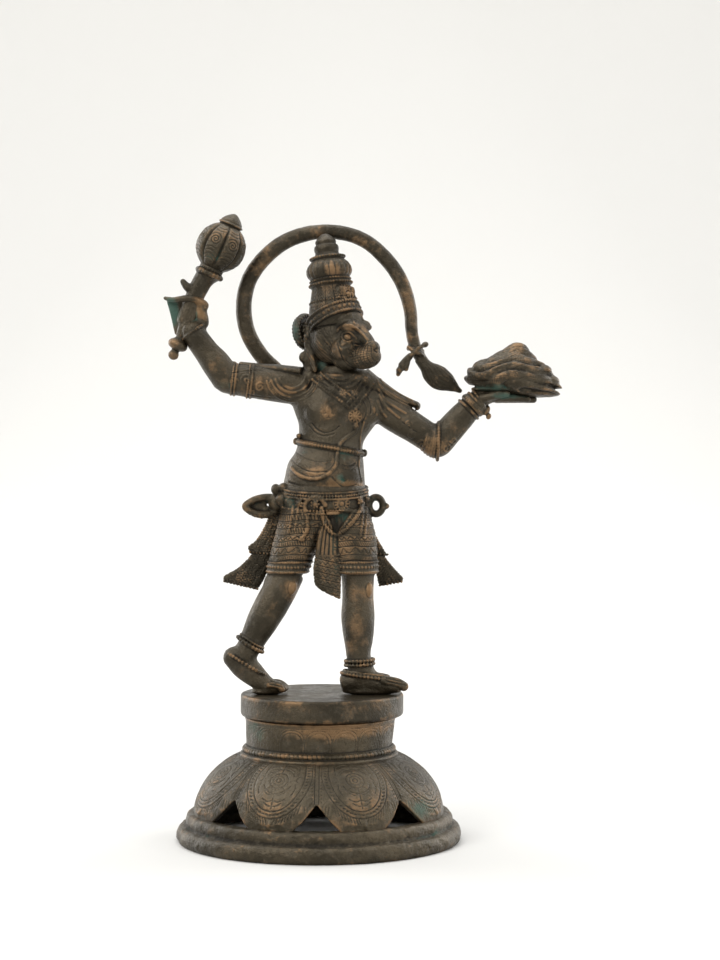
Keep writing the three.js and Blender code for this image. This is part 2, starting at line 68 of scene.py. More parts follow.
WINDOW_WIDTH = 23
WINDOW_HEIGHT = 11
WINDOW_REACH = (45, 70)
NECK_HEIGHT = 18.4
NECK_FOOT_RADIUS = 35
NECK_TOP_RADIUS = 36.2
NECK_ROOF = 3
NECK_OFFSET = 0.7
FILLET_RADIUS = 38
FILLET_HEIGHT = 1.5
BEADING_RADIUS = 36.9
BEADING_HEIGHT = 3
NECK_ARCHES = 16
ROPE_TURNS = 96

STEP_TOP = RING_HEIGHT + STEP_HEIGHT
DOME_TOP = STEP_TOP + DOME_HEIGHT
NECK_TOP = DOME_TOP + NECK_HEIGHT

figure_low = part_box("hanuman_figure")[0]
pedestal_low, pedestal_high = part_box("lotus_pedestal")
AXIS_X = (pedestal_low.x + pedestal_high.x) / 2 / MM
PLATE_TOP = figure_low.z / MM + PLATE_HEIGHT

# The photograph's eye, level and a little to the right of the pedestal's axis.
EYE_RIGHT = 19.7
EYE_DISTANCE = 1069
EYE_HEIGHT = 191.5
EYE = Vector((AXIS_X + EYE_RIGHT, -EYE_DISTANCE, EYE_HEIGHT)) * MM
EYE_DRAWN = Vector(
    ((EYE.x / MM - AXIS_X - PLATE_OFFSET) / UNIT, EYE.y / MM / UNIT, (EYE.z / MM - PLATE_TOP) / UNIT)
)
IMAGE_HEIGHT = 960
FOCAL_PIXELS = 2227
HORIZON_ROW = 440
SENSOR = 36

COARSENESS = 1.0  # coarser skins while trying things
CHUNK = 20000  # points measured at a time
LINE_REACH = 2.2  # how far a line's edge reaches, in widths
FIRM = (0.55, 0.57)  # smoothing there and back, which keeps small forms
CAP_TURNS = (0.35, 0.7, 1.05, 1.35)  # rings of a rounded end
FULL_TURN = 2 * math.pi


def turns(count):
    """Angles evenly round a full turn."""
    return np.linspace(0, FULL_TURN, count, endpoint=False)


def lengths(points):
    """Length along a path up to each of its points."""
    return np.concatenate([[0], np.cumsum(np.linalg.norm(np.diff(points, axis=0), axis=1))])


def rising(value, start, length):
    """Rises from 0 to 1 over a length."""
    return np.clip((value - start) / length, 0, 1)


def falling(value, end, length):
    """Falls from 1 to 0 over a length that stops at end."""
    return np.clip((end - value) / length, 0, 1)


def within(value, low, high):
    return (value > low) & (value < high)


def bell(offset, width):
    return np.exp(-((offset / width) ** 2))


def round_axis(points):
    """Angle round the upright axis, from the front, and distance from the axis."""
    return np.arctan2(points[:, 0], -points[:, 1]), np.hypot(points[:, 0], points[:, 1])


def nearest(points, path):
    """For each point: the number of the nearest point of a path, and its distance squared."""
    number = np.empty(len(points), int)
    gap = np.empty(len(points))
    for start in range(0, len(points), CHUNK):
        part = slice(start, start + CHUNK)
        squares = ((points[part, None, :] - path[None]) ** 2).sum(2)
        number[part] = squares.argmin(1)
        gap[part] = squares.min(1)
    return number, gap


# Shells: a shell is an array of points and an array of triangles.


def merged(shells):
    points, faces, start = [], [], 0
    for p, f in shells:
        points.append(p)
        faces.append(f + start)
        start += len(p)
    return np.concatenate(points), np.concatenate(faces)


def joined(a, b, j, k):
    """Two triangles for each side between the rings whose points start at numbers a and b."""
    return [np.stack([a + j, b + j, b + k], 1), np.stack([a + j, b + k, a + k], 1)]


def tube(rings, poles):
    """A closed skin over rings of equal count, shaped (rings, sides, 3), with a point at each end."""
    count, sides = rings.shape[:2]
    points = np.concatenate([rings.reshape(-1, 3), np.asarray(poles, float)])
    j = np.arange(sides)
    k = (j + 1) % sides
    faces = []
    for i in range(count - 1):
        faces += joined(i * sides, (i + 1) * sides, j, k)
    first, last = count * sides, (count - 1) * sides
    faces.append(np.stack([np.full(sides, first), j, k], 1))
    faces.append(np.stack([np.full(sides, first + 1), last + k, last + j], 1))
    return points, np.concatenate(faces)


def loop_tube(rings):
    """A closed skin over rings that run round and meet again."""
    count, sides = rings.shape[:2]
    j = np.arange(sides)
    k = (j + 1) % sides
    faces = []
    for i in range(count):
        faces += joined(i * sides, (i + 1) % count * sides, j, k)
    return rings.reshape(-1, 3), np.concatenate(faces)


def slopes(t, y):
    """Tangents of a curve through y at t that doesn't overshoot."""
    step = np.diff(t)
    rise = np.diff(y, axis=0) / step[:, None]
    if len(t) == 2:
        return np.stack([rise[0], rise[0]])
    inner = np.zeros((len(t) - 2, y.shape[1]))
    w1, w2 = 2 * step[1:, None] + step[:-1, None], step[1:, None] + 2 * step[:-1, None]
    same = rise[:-1] * rise[1:] > 0
    with np.errstate(divide="ignore", invalid="ignore"):
        mean = (w1 + w2) / (w1 / rise[:-1] + w2 / rise[1:])
    inner[same] = mean[same]
    return np.concatenate([rise[:1], inner, rise[-1:]])


def swing(t, y):
    """Tangents of a smooth round curve through y at t."""
    if len(t) == 2:
        return slopes(t, y)
    step = np.diff(t)
    rise = np.diff(y, axis=0) / step[:, None]
    inner = (rise[:-1] * step[1:, None] + rise[1:] * step[:-1, None]) / (step[:-1] + step[1:])[:, None]
    return np.concatenate([1.5 * rise[:1] - 0.5 * inner[:1], inner, 1.5 * rise[-1:] - 0.5 * inner[-1:]])


def hermite(t, y, tangents, at):
    """The curve through y at t with these tangents, read at other places."""
    i = np.clip(np.searchsorted(t, at, side="right") - 1, 0, len(t) - 2)
    step = (t[i + 1] - t[i])[:, None]
    s = ((at - t[i]) / step[:, 0])[:, None]
    a, b = y[i], y[i + 1]
    ma, mb = tangents[i] * step, tangents[i + 1] * step
    ends = (2 * s**3 - 3 * s**2 + 1) * a + (s**3 - 2 * s**2 + s) * ma
    return ends + (3 * s**2 - 2 * s**3) * b + (s**3 - s**2) * mb


def smooth_path(points, step=1.0):
    """Points along a smooth curve through the given ones."""
    points = np.asarray(points, float)
    t = lengths(points)
    count = max(2, int(t[-1] / step) + 1)
    return hermite(t, points, swing(t, points), np.linspace(0, t[-1], count))


class Limb:
    """A lofted limb: rows are [x, y, z, half across, half deep], with smooth rows between.

    Ends gives how far each end bulges, in radii. Level keeps the rows flat, and square above 2
    makes them squarer than an ellipse.
    """

    def __init__(self, rows, sides=32, ends=(0, 1), level=False, step=1.6, square=2.0):
        rows = np.asarray(rows, float)
        gaps = np.linalg.norm(np.diff(rows[:, :3], axis=0), axis=1)
        t = np.concatenate([[0], np.cumsum(np.maximum(gaps, 1e-6))])
        at = np.unique(np.concatenate([np.linspace(0, t[-1], max(3, int(t[-1] / step) + 1)), t]))
        self.at = at
        self.centre = hermite(t, rows[:, :3], swing(t, rows[:, :3]), at)
        self.radii = hermite(t, rows[:, 3:5], slopes(t, rows[:, 3:5]), at)
        path = np.gradient(self.centre, axis=0)
        path /= np.linalg.norm(path, axis=1, keepdims=True)
        self.along = np.tile([0.0, 0.0, 1.0], (len(at), 1)) if level else path
        depth = np.array([0.0, 1.0, 0.0]) - self.along * self.along[:, 1:2]
        self.depth = depth / np.linalg.norm(depth, axis=1, keepdims=True)
        self.side = np.cross(self.depth, self.along)
        self.sides, self.ends, self.square = sides, ends, square

    def ring(self, i, shift=0.0, share=1.0, lift=0.0, sides=None):
        """Row i, shifted along the limb, scaled by share and lifted off the surface."""
        angle = turns(sides or self.sides)
        across, deep = self.radii[i] * share + lift
        c, s = np.cos(angle), np.sin(angle)
        if self.square != 2.0:
            power = 2 / self.square
            c, s = np.sign(c) * np.abs(c) ** power, np.sign(s) * np.abs(s) ** power
        middle = self.centre[i] + self.along[i] * shift
        return middle + np.outer(c * across, self.side[i]) + np.outer(s * deep, self.depth[i])

    def shell(self):
        rings = [self.ring(i) for i in range(len(self.at))]
        reach = [self.ends[0] * self.radii[0].min(), self.ends[1] * self.radii[-1].min()]
        for turn in CAP_TURNS:
            if reach[0] > 0:
                rings.insert(0, self.ring(0, -reach[0] * math.sin(turn), math.cos(turn)))
            if reach[1] > 0:
                rings.append(self.ring(-1, reach[1] * math.sin(turn), math.cos(turn)))
        poles = [self.centre[0] - self.along[0] * reach[0], self.centre[-1] + self.along[-1] * reach[1]]
        return tube(np.stack(rings), poles)

    def index(self, place):
        """Number of the row that lies at a share of the limb's length."""
        return int(np.argmin(np.abs(self.at - place * self.at[-1])))

    def beads(self, place, count, size, lift=0.0):
        """Beads in a ring round the limb at a share of its length."""
        return [ball(p, size) for p in self.ring(self.index(place), lift=lift, sides=count)]

    def band(self, start, end, lift, rounding=0.35):
        """A band round the limb between two shares of its length, lower at its edges."""
        first, last = self.index(start), self.index(end)
        rings = [self.ring(first, share=0.5)]
        for i in range(first, last + 1):
            rings.append(self.ring(i, lift=lift * (1 - rounding * (i in (first, last)))))
        rings.append(self.ring(last, share=0.5))
        return tube(np.stack(rings), [self.centre[first], self.centre[last]])

    def bangle(self, place, size, lift=0.0, around=72, sides=12):
        """A round hoop that hugs the limb."""
        ring = self.ring(self.index(place), lift=lift, sides=around)
        out = ring - ring.mean(0)
        out /= np.linalg.norm(out, axis=1, keepdims=True)
        angle = turns(sides)[None, :, None]
        along = self.along[self.index(place)]
        return loop_tube(ring[:, None] + size * (np.cos(angle) * out[:, None] + np.sin(angle) * along))

    def coordinates(self, points):
        """For each point: share of the length, angle round the limb, and distance out in radii."""
        i = nearest(points, self.centre)[0]
        offset = points - self.centre[i]
        across = (offset * self.side[i]).sum(1) / self.radii[i, 0]
        deep = (offset * self.depth[i]).sum(1) / self.radii[i, 1]
        along = self.at[i] + (offset * self.along[i]).sum(1)
        return along / self.at[-1], np.arctan2(deep, across), np.hypot(across, deep)


def sphere_rings(columns, rows):
    turn = np.linspace(0, math.pi, rows + 2)[1:-1]
    angle = turns(columns)
    z, r = np.cos(turn), np.sin(turn)
    ring = np.stack([np.cos(angle), np.sin(angle), np.zeros(columns)], 1)
    return np.stack([ring * [rr, rr, 0] + [0, 0, zz] for zz, rr in zip(z, r)])


BALL = tube(sphere_rings(10, 7), [(0, 0, 1), (0, 0, -1)])
LUMP = tube(sphere_rings(36, 21), [(0, 0, 1), (0, 0, -1)])


def turned_by(points, degrees):
    """Points turned in the plane of the view."""
    a = math.radians(degrees)
    x, z = points[:, 0], points[:, 2]
    return np.stack([x * math.cos(a) - z * math.sin(a), points[:, 1], x * math.sin(a) + z * math.cos(a)], 1)


def ball(at, size):
    return BALL[0] * size + np.asarray(at, float), BALL[1]


def lump(at, half, turn=0.0):
    return turned_by(LUMP[0] * np.asarray(half, float), turn) + np.asarray(at, float), LUMP[1]


def tipped(points, nod, tilt):
    """Points turned about X and then in the plane of the view, in degrees."""
    a = math.radians(nod)
    x, y, z = points.T
    points = np.stack([x, y * math.cos(a) - z * math.sin(a), y * math.sin(a) + z * math.cos(a)], 1)
    return turned_by(points, tilt)


def lumps(rows):
    """Ellipsoids from rows of [x, y, z, half across, half deep, half high], and a turn if it has one."""
    return [lump(row[:3], row[3:6], *row[6:]) for row in rows]


def cord(points, radius):
    """A round cord along a smooth path. Several radii are spread evenly over its length."""
    path = smooth_path(points)
    given = np.atleast_1d(radius)
    radius = np.interp(np.linspace(0, 1, len(path)), np.linspace(0, 1, len(given)), given)
    return Limb(np.column_stack([path, radius, radius]), sides=14, ends=(1, 1), step=1.0).shell()


def hoop(at, across, deep, thick, nod=0.0, tilt=0.0, around=64, tall=None):
    """A hoop round an ellipse. Nod turns it about X and tilt in the plane of the view."""
    angle = turns(14)
    out = thick * np.cos(angle)
    up = (tall or thick) * np.sin(angle)
    rings = []
    for t in turns(around):
        rings.append(np.stack([(across + out) * math.cos(t), (deep + out) * math.sin(t), up], 1))
    points, faces = loop_tube(np.stack(rings))
    return tipped(points, nod, tilt) + np.asarray(at, float), faces


def bead_ring(at, across, deep, count, size, nod=0.0, tilt=0.0):
    """Beads round an ellipse."""
    turn = turns(count)
    x, y = (across + 0.2 * size) * np.cos(turn), (deep + 0.2 * size) * np.sin(turn)
    ring = np.stack([x, y, np.zeros(count)], 1)
    return [ball(p, size) for p in tipped(ring, nod, tilt) + np.array(at, float)]


def beaded_hoop(at, across, deep, count, size, nod=0.0, tilt=0.0, bar=0.6):
    """Beads on a thin hoop round an ellipse."""
    bare = hoop(at, across, deep, bar * size, nod=nod, tilt=tilt, around=96)
    return [bare] + bead_ring(at, across, deep, count, size, nod, tilt)


def across_axis(axis):
    """Two directions at right angles to an axis and to each other."""
    other = np.cross(axis, [0.0, 1.0, 0.0])
    other /= np.linalg.norm(other)
    return other, np.cross(axis, other)


def lathe(start, end, rows, segments=96, wave=None, step=0.8):
    """A turned piece from rows of [distance along, radius]. Wave gives a factor for the radius."""
    start, end = np.asarray(start, float), np.asarray(end, float)
    axis = (end - start) / np.linalg.norm(end - start)
    other, third = across_axis(axis)
    dense = [rows[0]]
    for (t0, r0), (t1, r1) in zip(rows, rows[1:]):
        count = max(1, int(math.hypot(t1 - t0, r1 - r0) / step))
        dense += [(t0 + (t1 - t0) * k / count, r0 + (r1 - r0) * k / count) for k in range(1, count + 1)]
    angle = turns(segments)
    spokes = np.outer(np.cos(angle), other) + np.outer(np.sin(angle), third)
    rings = []
    for t, r in dense:
        if r > 1e-6:
            factor = wave(t, angle) if wave else 1.0
            rings.append(start + axis * t + spokes * (np.asarray(factor * r).reshape(-1, 1)))
    return tube(np.stack(rings), [start + axis * dense[0][0], start + axis * dense[-1][0]])


def carried(points, matrix):
    m = np.array(matrix)
    return points @ m[:3, :3].T + m[:3, 3]


# Skins: one surface round many shells.


def mesh_of(name, points, faces):
    mesh = bpy.data.meshes.new(name)
    faces = np.asarray(faces)
    sides = faces.shape[1]
    mesh.vertices.add(len(points))
    mesh.vertices.foreach_set("co", np.asarray(points, np.float32).ravel())
    mesh.loops.add(faces.size)
    mesh.loops.foreach_set("vertex_index", faces.astype(np.int32).ravel())
    mesh.polygons.add(len(faces))
    mesh.polygons.foreach_set("loop_start", np.arange(0, faces.size, sides, dtype=np.int32))
    mesh.update(calc_edges=True)
    mesh.validate()
    return mesh


def arrays_of(mesh):
    points = np.empty(len(mesh.vertices) * 3, np.float32)
    mesh.vertices.foreach_get("co", points)
    mesh.calc_loop_triangles()
    faces = np.empty(len(mesh.loop_triangles) * 3, np.int32)
    mesh.loop_triangles.foreach_get("vertices", faces)
    return points.reshape(-1, 3).astype(float), faces.reshape(-1, 3)


def remove(thing):
    data = thing.data
    bpy.data.objects.remove(thing)
    bpy.data.meshes.remove(data)


def evaluated(thing):
    """A new mesh of an object after its modifiers."""
    return bpy.data.meshes.new_from_object(thing.evaluated_get(bpy.context.evaluated_depsgraph_get()))


def placed(name, data):
    """A new object in the scene."""
    thing = bpy.data.objects.new(name, data)
    bpy.context.scene.collection.objects.link(thing)
    return thing


def through(points, faces, kind, **settings):
    """The arrays after one modifier."""
    thing = placed("work", mesh_of("work", points, faces))
    modifier = thing.modifiers.new("work", kind)
    for key, value in settings.items():
        setattr(modifier, key, value)
    made = evaluated(thing)
    result = arrays_of(made)
    remove(thing)
    bpy.data.meshes.remove(made)
    return result


class Skin:
    """One smooth surface round shells. What is drawn on it is kept in pressed until it is pressed in."""

    def __init__(self, shells, voxel, rounds=2, firm=False):
        settings = {"mode": "VOXEL", "voxel_size": voxel * COARSENESS, "adaptivity": 0.0}
        self.points, self.faces = through(*merged(shells), "REMESH", **settings)
        f = self.faces
        self.a = np.concatenate([f[:, 0], f[:, 1], f[:, 2]])
        self.b = np.concatenate([f[:, 1], f[:, 2], f[:, 0]])
        size = len(self.points)
        self.count = np.bincount(self.a, minlength=size) + np.bincount(self.b, minlength=size)
        self.smooth(rounds, *(FIRM if firm else ()))
        self.pressed = np.zeros(size)

    def average(self, values):
        """For each point: the mean of the values at its neighbours."""
        size = len(self.points)
        columns = [
            np.bincount(self.a, values[:, k][self.b], size) + np.bincount(self.b, values[:, k][self.a], size)
            for k in range(values.shape[1])
        ]
        return np.stack(columns, 1) / np.maximum(self.count, 1)[:, None]

    def smooth(self, rounds, share=0.6, back=0.0):
        """Evens the surface. With back, small forms keep their size."""
        for _ in range(rounds):
            self.points = self.points + share * (self.average(self.points) - self.points)
            if back:
                self.points = self.points - back * (self.average(self.points) - self.points)

    def normals(self):
        p, f = self.points, self.faces
        face = np.cross(p[f[:, 1]] - p[f[:, 0]], p[f[:, 2]] - p[f[:, 0]])
        total = np.zeros_like(p)
        for k in range(3):
            for c in range(3):
                total[:, c] += np.bincount(f[:, k], face[:, c], len(p))
        return total / np.maximum(np.linalg.norm(total, axis=1, keepdims=True), 1e-12)

    def soft(self, rounds, start=None):
        """The points after more smoothing, which the skin itself doesn't take on."""
        points = self.points if start is None else start
        for _ in range(rounds):
            points = points + 0.8 * (self.average(points) - points)
        return points

    def standing_out(self, soft, scale):
        """How far each point stands out of the softened surface round it."""
        return np.clip(((self.points - soft) * self.normals()).sum(1) / scale, -2, 2)

    def line(self, path, width, depth):
        """Draws a line sunk by depth along a path."""
        reach = LINE_REACH * width
        inside = np.flatnonzero(within(self.points, path.min(0) - reach, path.max(0) + reach).all(1))
        gap = np.sqrt(nearest(self.points[inside], path)[1])
        inside, gap = inside[gap < reach], gap[gap < reach]
        self.pressed[inside] = np.minimum(self.pressed[inside], -depth * bell(gap, width))

    def press(self):
        """Moves the surface by all that has been drawn on it since the last time."""
        self.points = self.points + self.normals() * self.pressed[:, None]
        self.pressed = np.zeros(len(self.points))


OCTAVES = 3
WAVES_PER_OCTAVE = 7


def waves(points, size, seed):
    """Smooth noise from sums of sines, about -1 to 1. Its directions are drawn from the seed."""
    source = np.random.default_rng(seed)
    total = np.zeros(len(points))
    weight = 0.0
    for octave in range(OCTAVES):
        scale = size / 2**octave
        share = 0.6**octave
        for _ in range(WAVES_PER_OCTAVE):
            direction = source.normal(size=3)
            direction *= FULL_TURN / scale / np.linalg.norm(direction) * source.uniform(0.6, 1.4)
            total += share * np.sin(points @ direction + source.uniform(0, FULL_TURN))
            weight += share
    return total / weight * 2.2


# Places on the figure that are seen from the front, drawn as they appear.


class Front:
    """Finds the surface behind a place of the front view, on a skin in drawn units."""

    def __init__(self, skin):
        self.skin = skin
        self.tree = BVHTree.FromPolygons(skin.points.tolist(), skin.faces.tolist())

    def on(self, x, z, sink=0.0):
        """The surface's point behind a place, or None where the view passes the figure."""
        hit, normal, _, _ = self.tree.ray_cast(EYE_DRAWN, (Vector((x, 0, z)) - EYE_DRAWN).normalized())
        return None if hit is None else np.array(hit - normal * sink)

    def path(self, places, sink=0.0, step=1.2):
        """A path over the surface through places of the view. Places that miss it are left out."""
        flat = smooth_path([(x, 0, z) for x, z in places], step)
        found = [self.on(p[0], p[2], sink) for p in flat]
        return np.array([p for p in found if p is not None])

    def strand(self, places, radius, sink=0.3):
        """A cord that lies on the surface, sunk by a share of its radius."""
        path = self.path(places, sink * radius)
        rows = np.column_stack([path, np.full((len(path), 2), radius)])
        return Limb(rows[:: max(1, int(radius))], sides=12, ends=(1, 1), step=1.2).shell()

    def beads(self, places, size, spacing, sink=0.25):
        """Beads that lie on the surface, sunk by a share of their size."""
        path = self.path(places, sink * size, step=0.5)
        length = lengths(path)
        at = np.arange(0, length[-1], spacing)
        centres = np.stack([np.interp(at, length, path[:, k]) for k in range(3)], 1)
        return [ball(p, size) for p in centres]

    def engrave(self, lines, step=0.6):
        """Lines cut into the skin: rows are places of the view, width and depth."""
        for places, width, depth in lines:
            self.skin.line(self.path(places, step=step), width, depth)


def circle(x, z, radius, start=0, end=360, count=24):
    """Places round a circle of the view, in degrees from the right, turning up."""
    turn = np.radians(np.linspace(start, end, count))
    return [(x + radius * math.cos(t), z + radius * math.sin(t)) for t in turn]


# The body: breeches, legs, trunk, arms and hands.

TRUNK = Limb(
    [
        [2, 2, 188, 40, 31], [2, 1, 206, 41, 31.5], [2.5, 1, 214, 40, 31], [4, -1, 230, 37.5, 28],
        [7, -1, 241, 33.3, 24.3], [8.5, -1, 249, 32.6, 23.2], [11.5, -0.5, 258, 34.8, 23.5],
        [15, 0, 268, 38.5, 24], [15, 0, 280, 42.5, 25], [15, 0, 290, 45, 25], [18, 0, 300, 42, 23],
        [19, 0, 309, 31, 20], [19, -1, 318, 21, 18],
    ],
    sides=56, ends=(0, 0), level=True,
)
NECK = Limb([[20, 0, 300, 23, 19], [19, -2, 316, 19, 18], [18, -4, 326, 17, 16]], ends=(0, 0), level=True)
PELVIS = Limb(
    [
        [2, 2, 164, 38, 27], [2, 2, 176, 42, 31], [2, 1.6, 186, 42.6, 33.4], [2, 1.2, 196, 43, 34],
        [2, 1, 205, 42, 32.6], [2, 1, 209, 39, 30],
    ],
    sides=56, ends=(0, 0), level=True,
)
REAR_BREECH = Limb(
    [
        [-13, -1, 184, 28, 29], [-21, -3, 160, 25.5, 26.5], [-28.5, -6, 140, 23, 23.5],
        [-32.5, -7, 128, 20.8, 21.5], [-34.5, -7.4, 119.5, 19.8, 20.5],
    ],
    sides=48, ends=(0, 0), level=True, step=1.0,
)
FRONT_BREECH = Limb(
    [
        [21, -1, 184, 26, 29], [28, -5, 156, 26, 27], [31, -7, 138, 24.4, 25], [32.5, -7.6, 128, 22.6, 23.6],
        [33, -8, 119.5, 22, 23],
    ],
    sides=48, ends=(0, 0), level=True, step=1.0,
)
REAR_LEG = Limb(
    [
        [-32, -8, 122, 16, 16], [-42, -11, 103, 17, 16.8], [-48, -12, 92, 17, 17], [-58, -13, 74, 16, 16],
        [-67, -14, 57, 13.5, 13.5], [-71, -14.3, 49, 12.4, 12.4], [-75, -15, 42, 12, 12],
        [-78, -15, 34, 14, 11],
    ],
    ends=(0, 0),
)
FRONT_LEG = Limb(
    [
        [35.5, -9, 122, 16.5, 16.5], [35.8, -10, 98, 15.7, 15.7], [35.8, -11, 76, 16.8, 16.3],
        [36.3, -12, 56, 15, 14.5], [36.5, -13, 37, 12.2, 12.2], [38, -13, 28, 12.8, 12],
        [41, -13, 14, 15, 11],
    ],
    ends=(0, 0),
)
REAR_FOOT = Limb(
    [
        [-88, -15, 37, 11, 10], [-77, -15, 28, 13.5, 10.5], [-67, -15, 19, 12, 10.5], [-58, -15, 12, 9.4, 11],
        [-50, -15, 8, 7.2, 12], [-43, -15, 6.4, 5.6, 12],
    ],
    ends=(1, 0.5),
)
FRONT_FOOT = Limb(
    [
        [20.5, -13, 9.5, 9.2, 8.4], [28, -13, 11.5, 11.2, 9.8], [38, -13, 12.4, 12.2, 10.5],
        [50, -13, 11.8, 11.2, 11], [61, -13, 9.8, 9.4, 12], [71, -13, 8.2, 7.6, 13],
        [77, -13, 8.2, 6.6, 12.5],
    ],
    ends=(0.25, 0.5),
)
MACE_UPPER_ARM = Limb(
    [[-16, 0, 303, 17, 17], [-36, -1, 306, 17.5, 17], [-68, -3, 310, 16.5, 16], [-94, -4, 313, 15, 15]]
)
MACE_FOREARM = Limb(
    [
        [-94, -4, 312, 15.3, 15], [-107, -5, 330, 14.5, 15], [-115, -5, 340, 12.8, 13.6],
        [-129, -7, 360, 12, 13],
    ]
)
MOUNTAIN_UPPER_ARM = Limb(
    [[47, 0, 296, 17, 17], [72, -2, 277, 16.5, 16], [96, -3, 261.5, 15, 15.3], [115, -4, 249, 14.7, 14.8]]
)
MOUNTAIN_FOREARM = Limb(
    [
        [116, -4, 249, 14.5, 14], [137, -4, 273, 13.6, 13], [150, -4, 286.5, 11.8, 11.6],
        [158, -4, 293.5, 10, 12.8], [168, -4, 296, 7.4, 13.4], [188, -4, 295, 5.6, 14],
    ],
    ends=(0, 0.6),
)
REAR_FALL = Limb(
    [[-20, 0, 320, 5, 15], [-44, 2, 323, 4.6, 14], [-66, 4, 325, 4, 12], [-82, 5, 328, 2.6, 8]],
    ends=(0, 0.5),
)
FRONT_FALL = Limb(
    [[40, -4, 314, 11, 16], [60, 0, 302, 8, 15], [78, 2, 293, 5, 12], [95, 4, 287, 3.4, 7.5]], ends=(0, 0.5),
)

MACE_FOOT = np.array([-150.0, -6.0, 332.0])
MACE_TIP = np.array([-86.0, -6.0, 477.0])
MACE_AXIS = (MACE_TIP - MACE_FOOT) / np.linalg.norm(MACE_TIP - MACE_FOOT)
GRIP_RADIUS = 8.9
GRIP_TURNS = np.radians([38, 22, 6, -12, -32, -55, -80, -100])
GRIP_WEB = [
    [-156.5, 393, -122, 392, 0, 5], [-153, 381, -121, 378, 0, 5.4], [-150, 369, -124, 365, 0, 5.4],
    [-147.5, 357, -132, 353, 1, 5],
]


def toes(root, step, sizes, reach, rise):
    """Five toes side by side in depth, from the first of sizes nearest to the viewer."""
    shells = []
    for i, (size, long) in enumerate(zip(sizes, reach)):
        x, y, z = root[0], root[1] + step * i, root[2]
        places = [(x - 9, y, z + rise), (x + 0.55 * long, y, z + 0.4 * rise), (x + long, y, z - 0.6)]
        shells.append(cord(places, [size * 0.9, size, size * 0.95]))
    return shells


def gripping_fingers():
    """Four fingers that go round the back of the mace."""
    right = np.cross(MACE_AXIS, [0.0, 1.0, 0.0])
    away = np.array([0.0, 1.0, 0.0])
    shells = []
    for i, along in enumerate((38.5, 46, 53.5, 61)):
        size = 4.0 - 0.2 * abs(i - 1.5)
        arc = []
        for a in GRIP_TURNS:
            centre = MACE_FOOT + MACE_AXIS * (along + 1.6 * math.cos(a))
            arc.append(centre + GRIP_RADIUS * (math.sin(a) * right + math.cos(a) * away))
        shells.append(cord(arc, [size] * 6 + [size * 0.95, size * 0.8]))
    return shells


def open_fingers():
    """Four fingers of the open hand, straight under the mountain, and the thumb beside them."""
    shells = []
    for i, (reach, size) in enumerate(((206, 3.7), (212, 4.1), (213, 4.1), (209, 3.8))):
        y = -14.4 + 6.9 * i
        places = [(174, y, 294), (194, y, 293.4), (reach - 2, y, 292.4)]
        shells.append(cord(places, [size * 1.25, size * 1.1, size * 0.85]))
    shells.append(cord([(158, -13, 293), (170, -18.5, 296), (183, -20, 298)], [5.2, 4.4, 3.4]))
    return shells


def lower_flesh():
    limbs = (PELVIS, REAR_BREECH, FRONT_BREECH, REAR_LEG, FRONT_LEG, REAR_FOOT, FRONT_FOOT)
    shells = [limb.shell() for limb in limbs]
    shells += lumps([
        [2, 20, 184, 38, 17, 22],
        [-46, -10, 110, 12, 10, 12, -24],  # knees
        [38, -14, 102, 12, 12, 12],
        [-52, -3, 80, 12, 13, 20, -24],  # calves
        [31, 0, 74, 12, 13, 20],
        [-54, -15, 2.5, 17, 10, 3.2],
        [-46, -15, 7, 9, 11.5, 6],
        [48, -13, 2.6, 29, 11, 3.4],
    ])
    return shells


def all_toes():
    rear = toes((-43, -25.2, 6.4), 4.9, (3.3, 3.5, 3.6, 3.7, 4.6), (3.6, 5.2, 6.0, 6.2, 5.6), 3.6)
    return rear + toes((71, -22.0, 9.2), 5.0, (5.2, 3.8, 3.6, 3.4, 3.1), (10.0, 9.8, 8.6, 6.8, 4.4), 4.6)


def upper_flesh():
    limbs = (TRUNK, NECK, MACE_UPPER_ARM, MACE_FOREARM, MOUNTAIN_UPPER_ARM, MOUNTAIN_FOREARM)
    shells = [limb.shell() for limb in limbs]
    shells += lumps([
        [3, -14, 280, 21, 12, 16],  # chest
        [43, -11, 282, 17, 12.5, 16],
        [8, -14.5, 218, 31, 20.5, 16.5],  # belly
        [6, -16, 229, 24, 14.5, 10],
        [8, 20, 288, 30, 8, 22],  # shoulder blades
        [23, -5, 315, 31, 18, 9.5],  # collar, close under the jaw
        [4, 4, 326, 12, 9, 10],
        [-19.6, -1, 334.6, 4.2, 4.6, 5.8],
    ])
    # The locks and the ear's fall, down to the shoulder.
    shells.append(cord([(-12.5, -1, 367), (-14, -2, 356), (-13.5, -2, 342)], [4.0, 4.6, 4.2]))
    shells += lumps([[-10, 4, 332, 9.5, 12, 16, -6], [-12, 2, 314, 10, 14, 11]])
    # The palm behind the shaft, the thumb round it and the skin between them.
    shells += lumps(
        [[-126, 4, 380, 10, 10, 15, 24], [-130, 1, 364, 12, 10, 13, 24], [-121, -4, 377, 7, 9, 15, 22]]
    )
    thumb = [
        (-117.5, -5, 386), (-126, -12, 391.5), (-137, -13, 392.5), (-147, -10, 391.5), (-156.5, -6, 393.5),
    ]
    shells += [cord(thumb, [5.4, 4.4, 3.8, 3.4, 2.6]), ribbon(GRIP_WEB, (0, 0))]
    return shells + lumps([[150, -4, 284, 11, 11, 9, 40]])


# Cloth: sash ends, bow, ring, cloth end between the legs, stole.


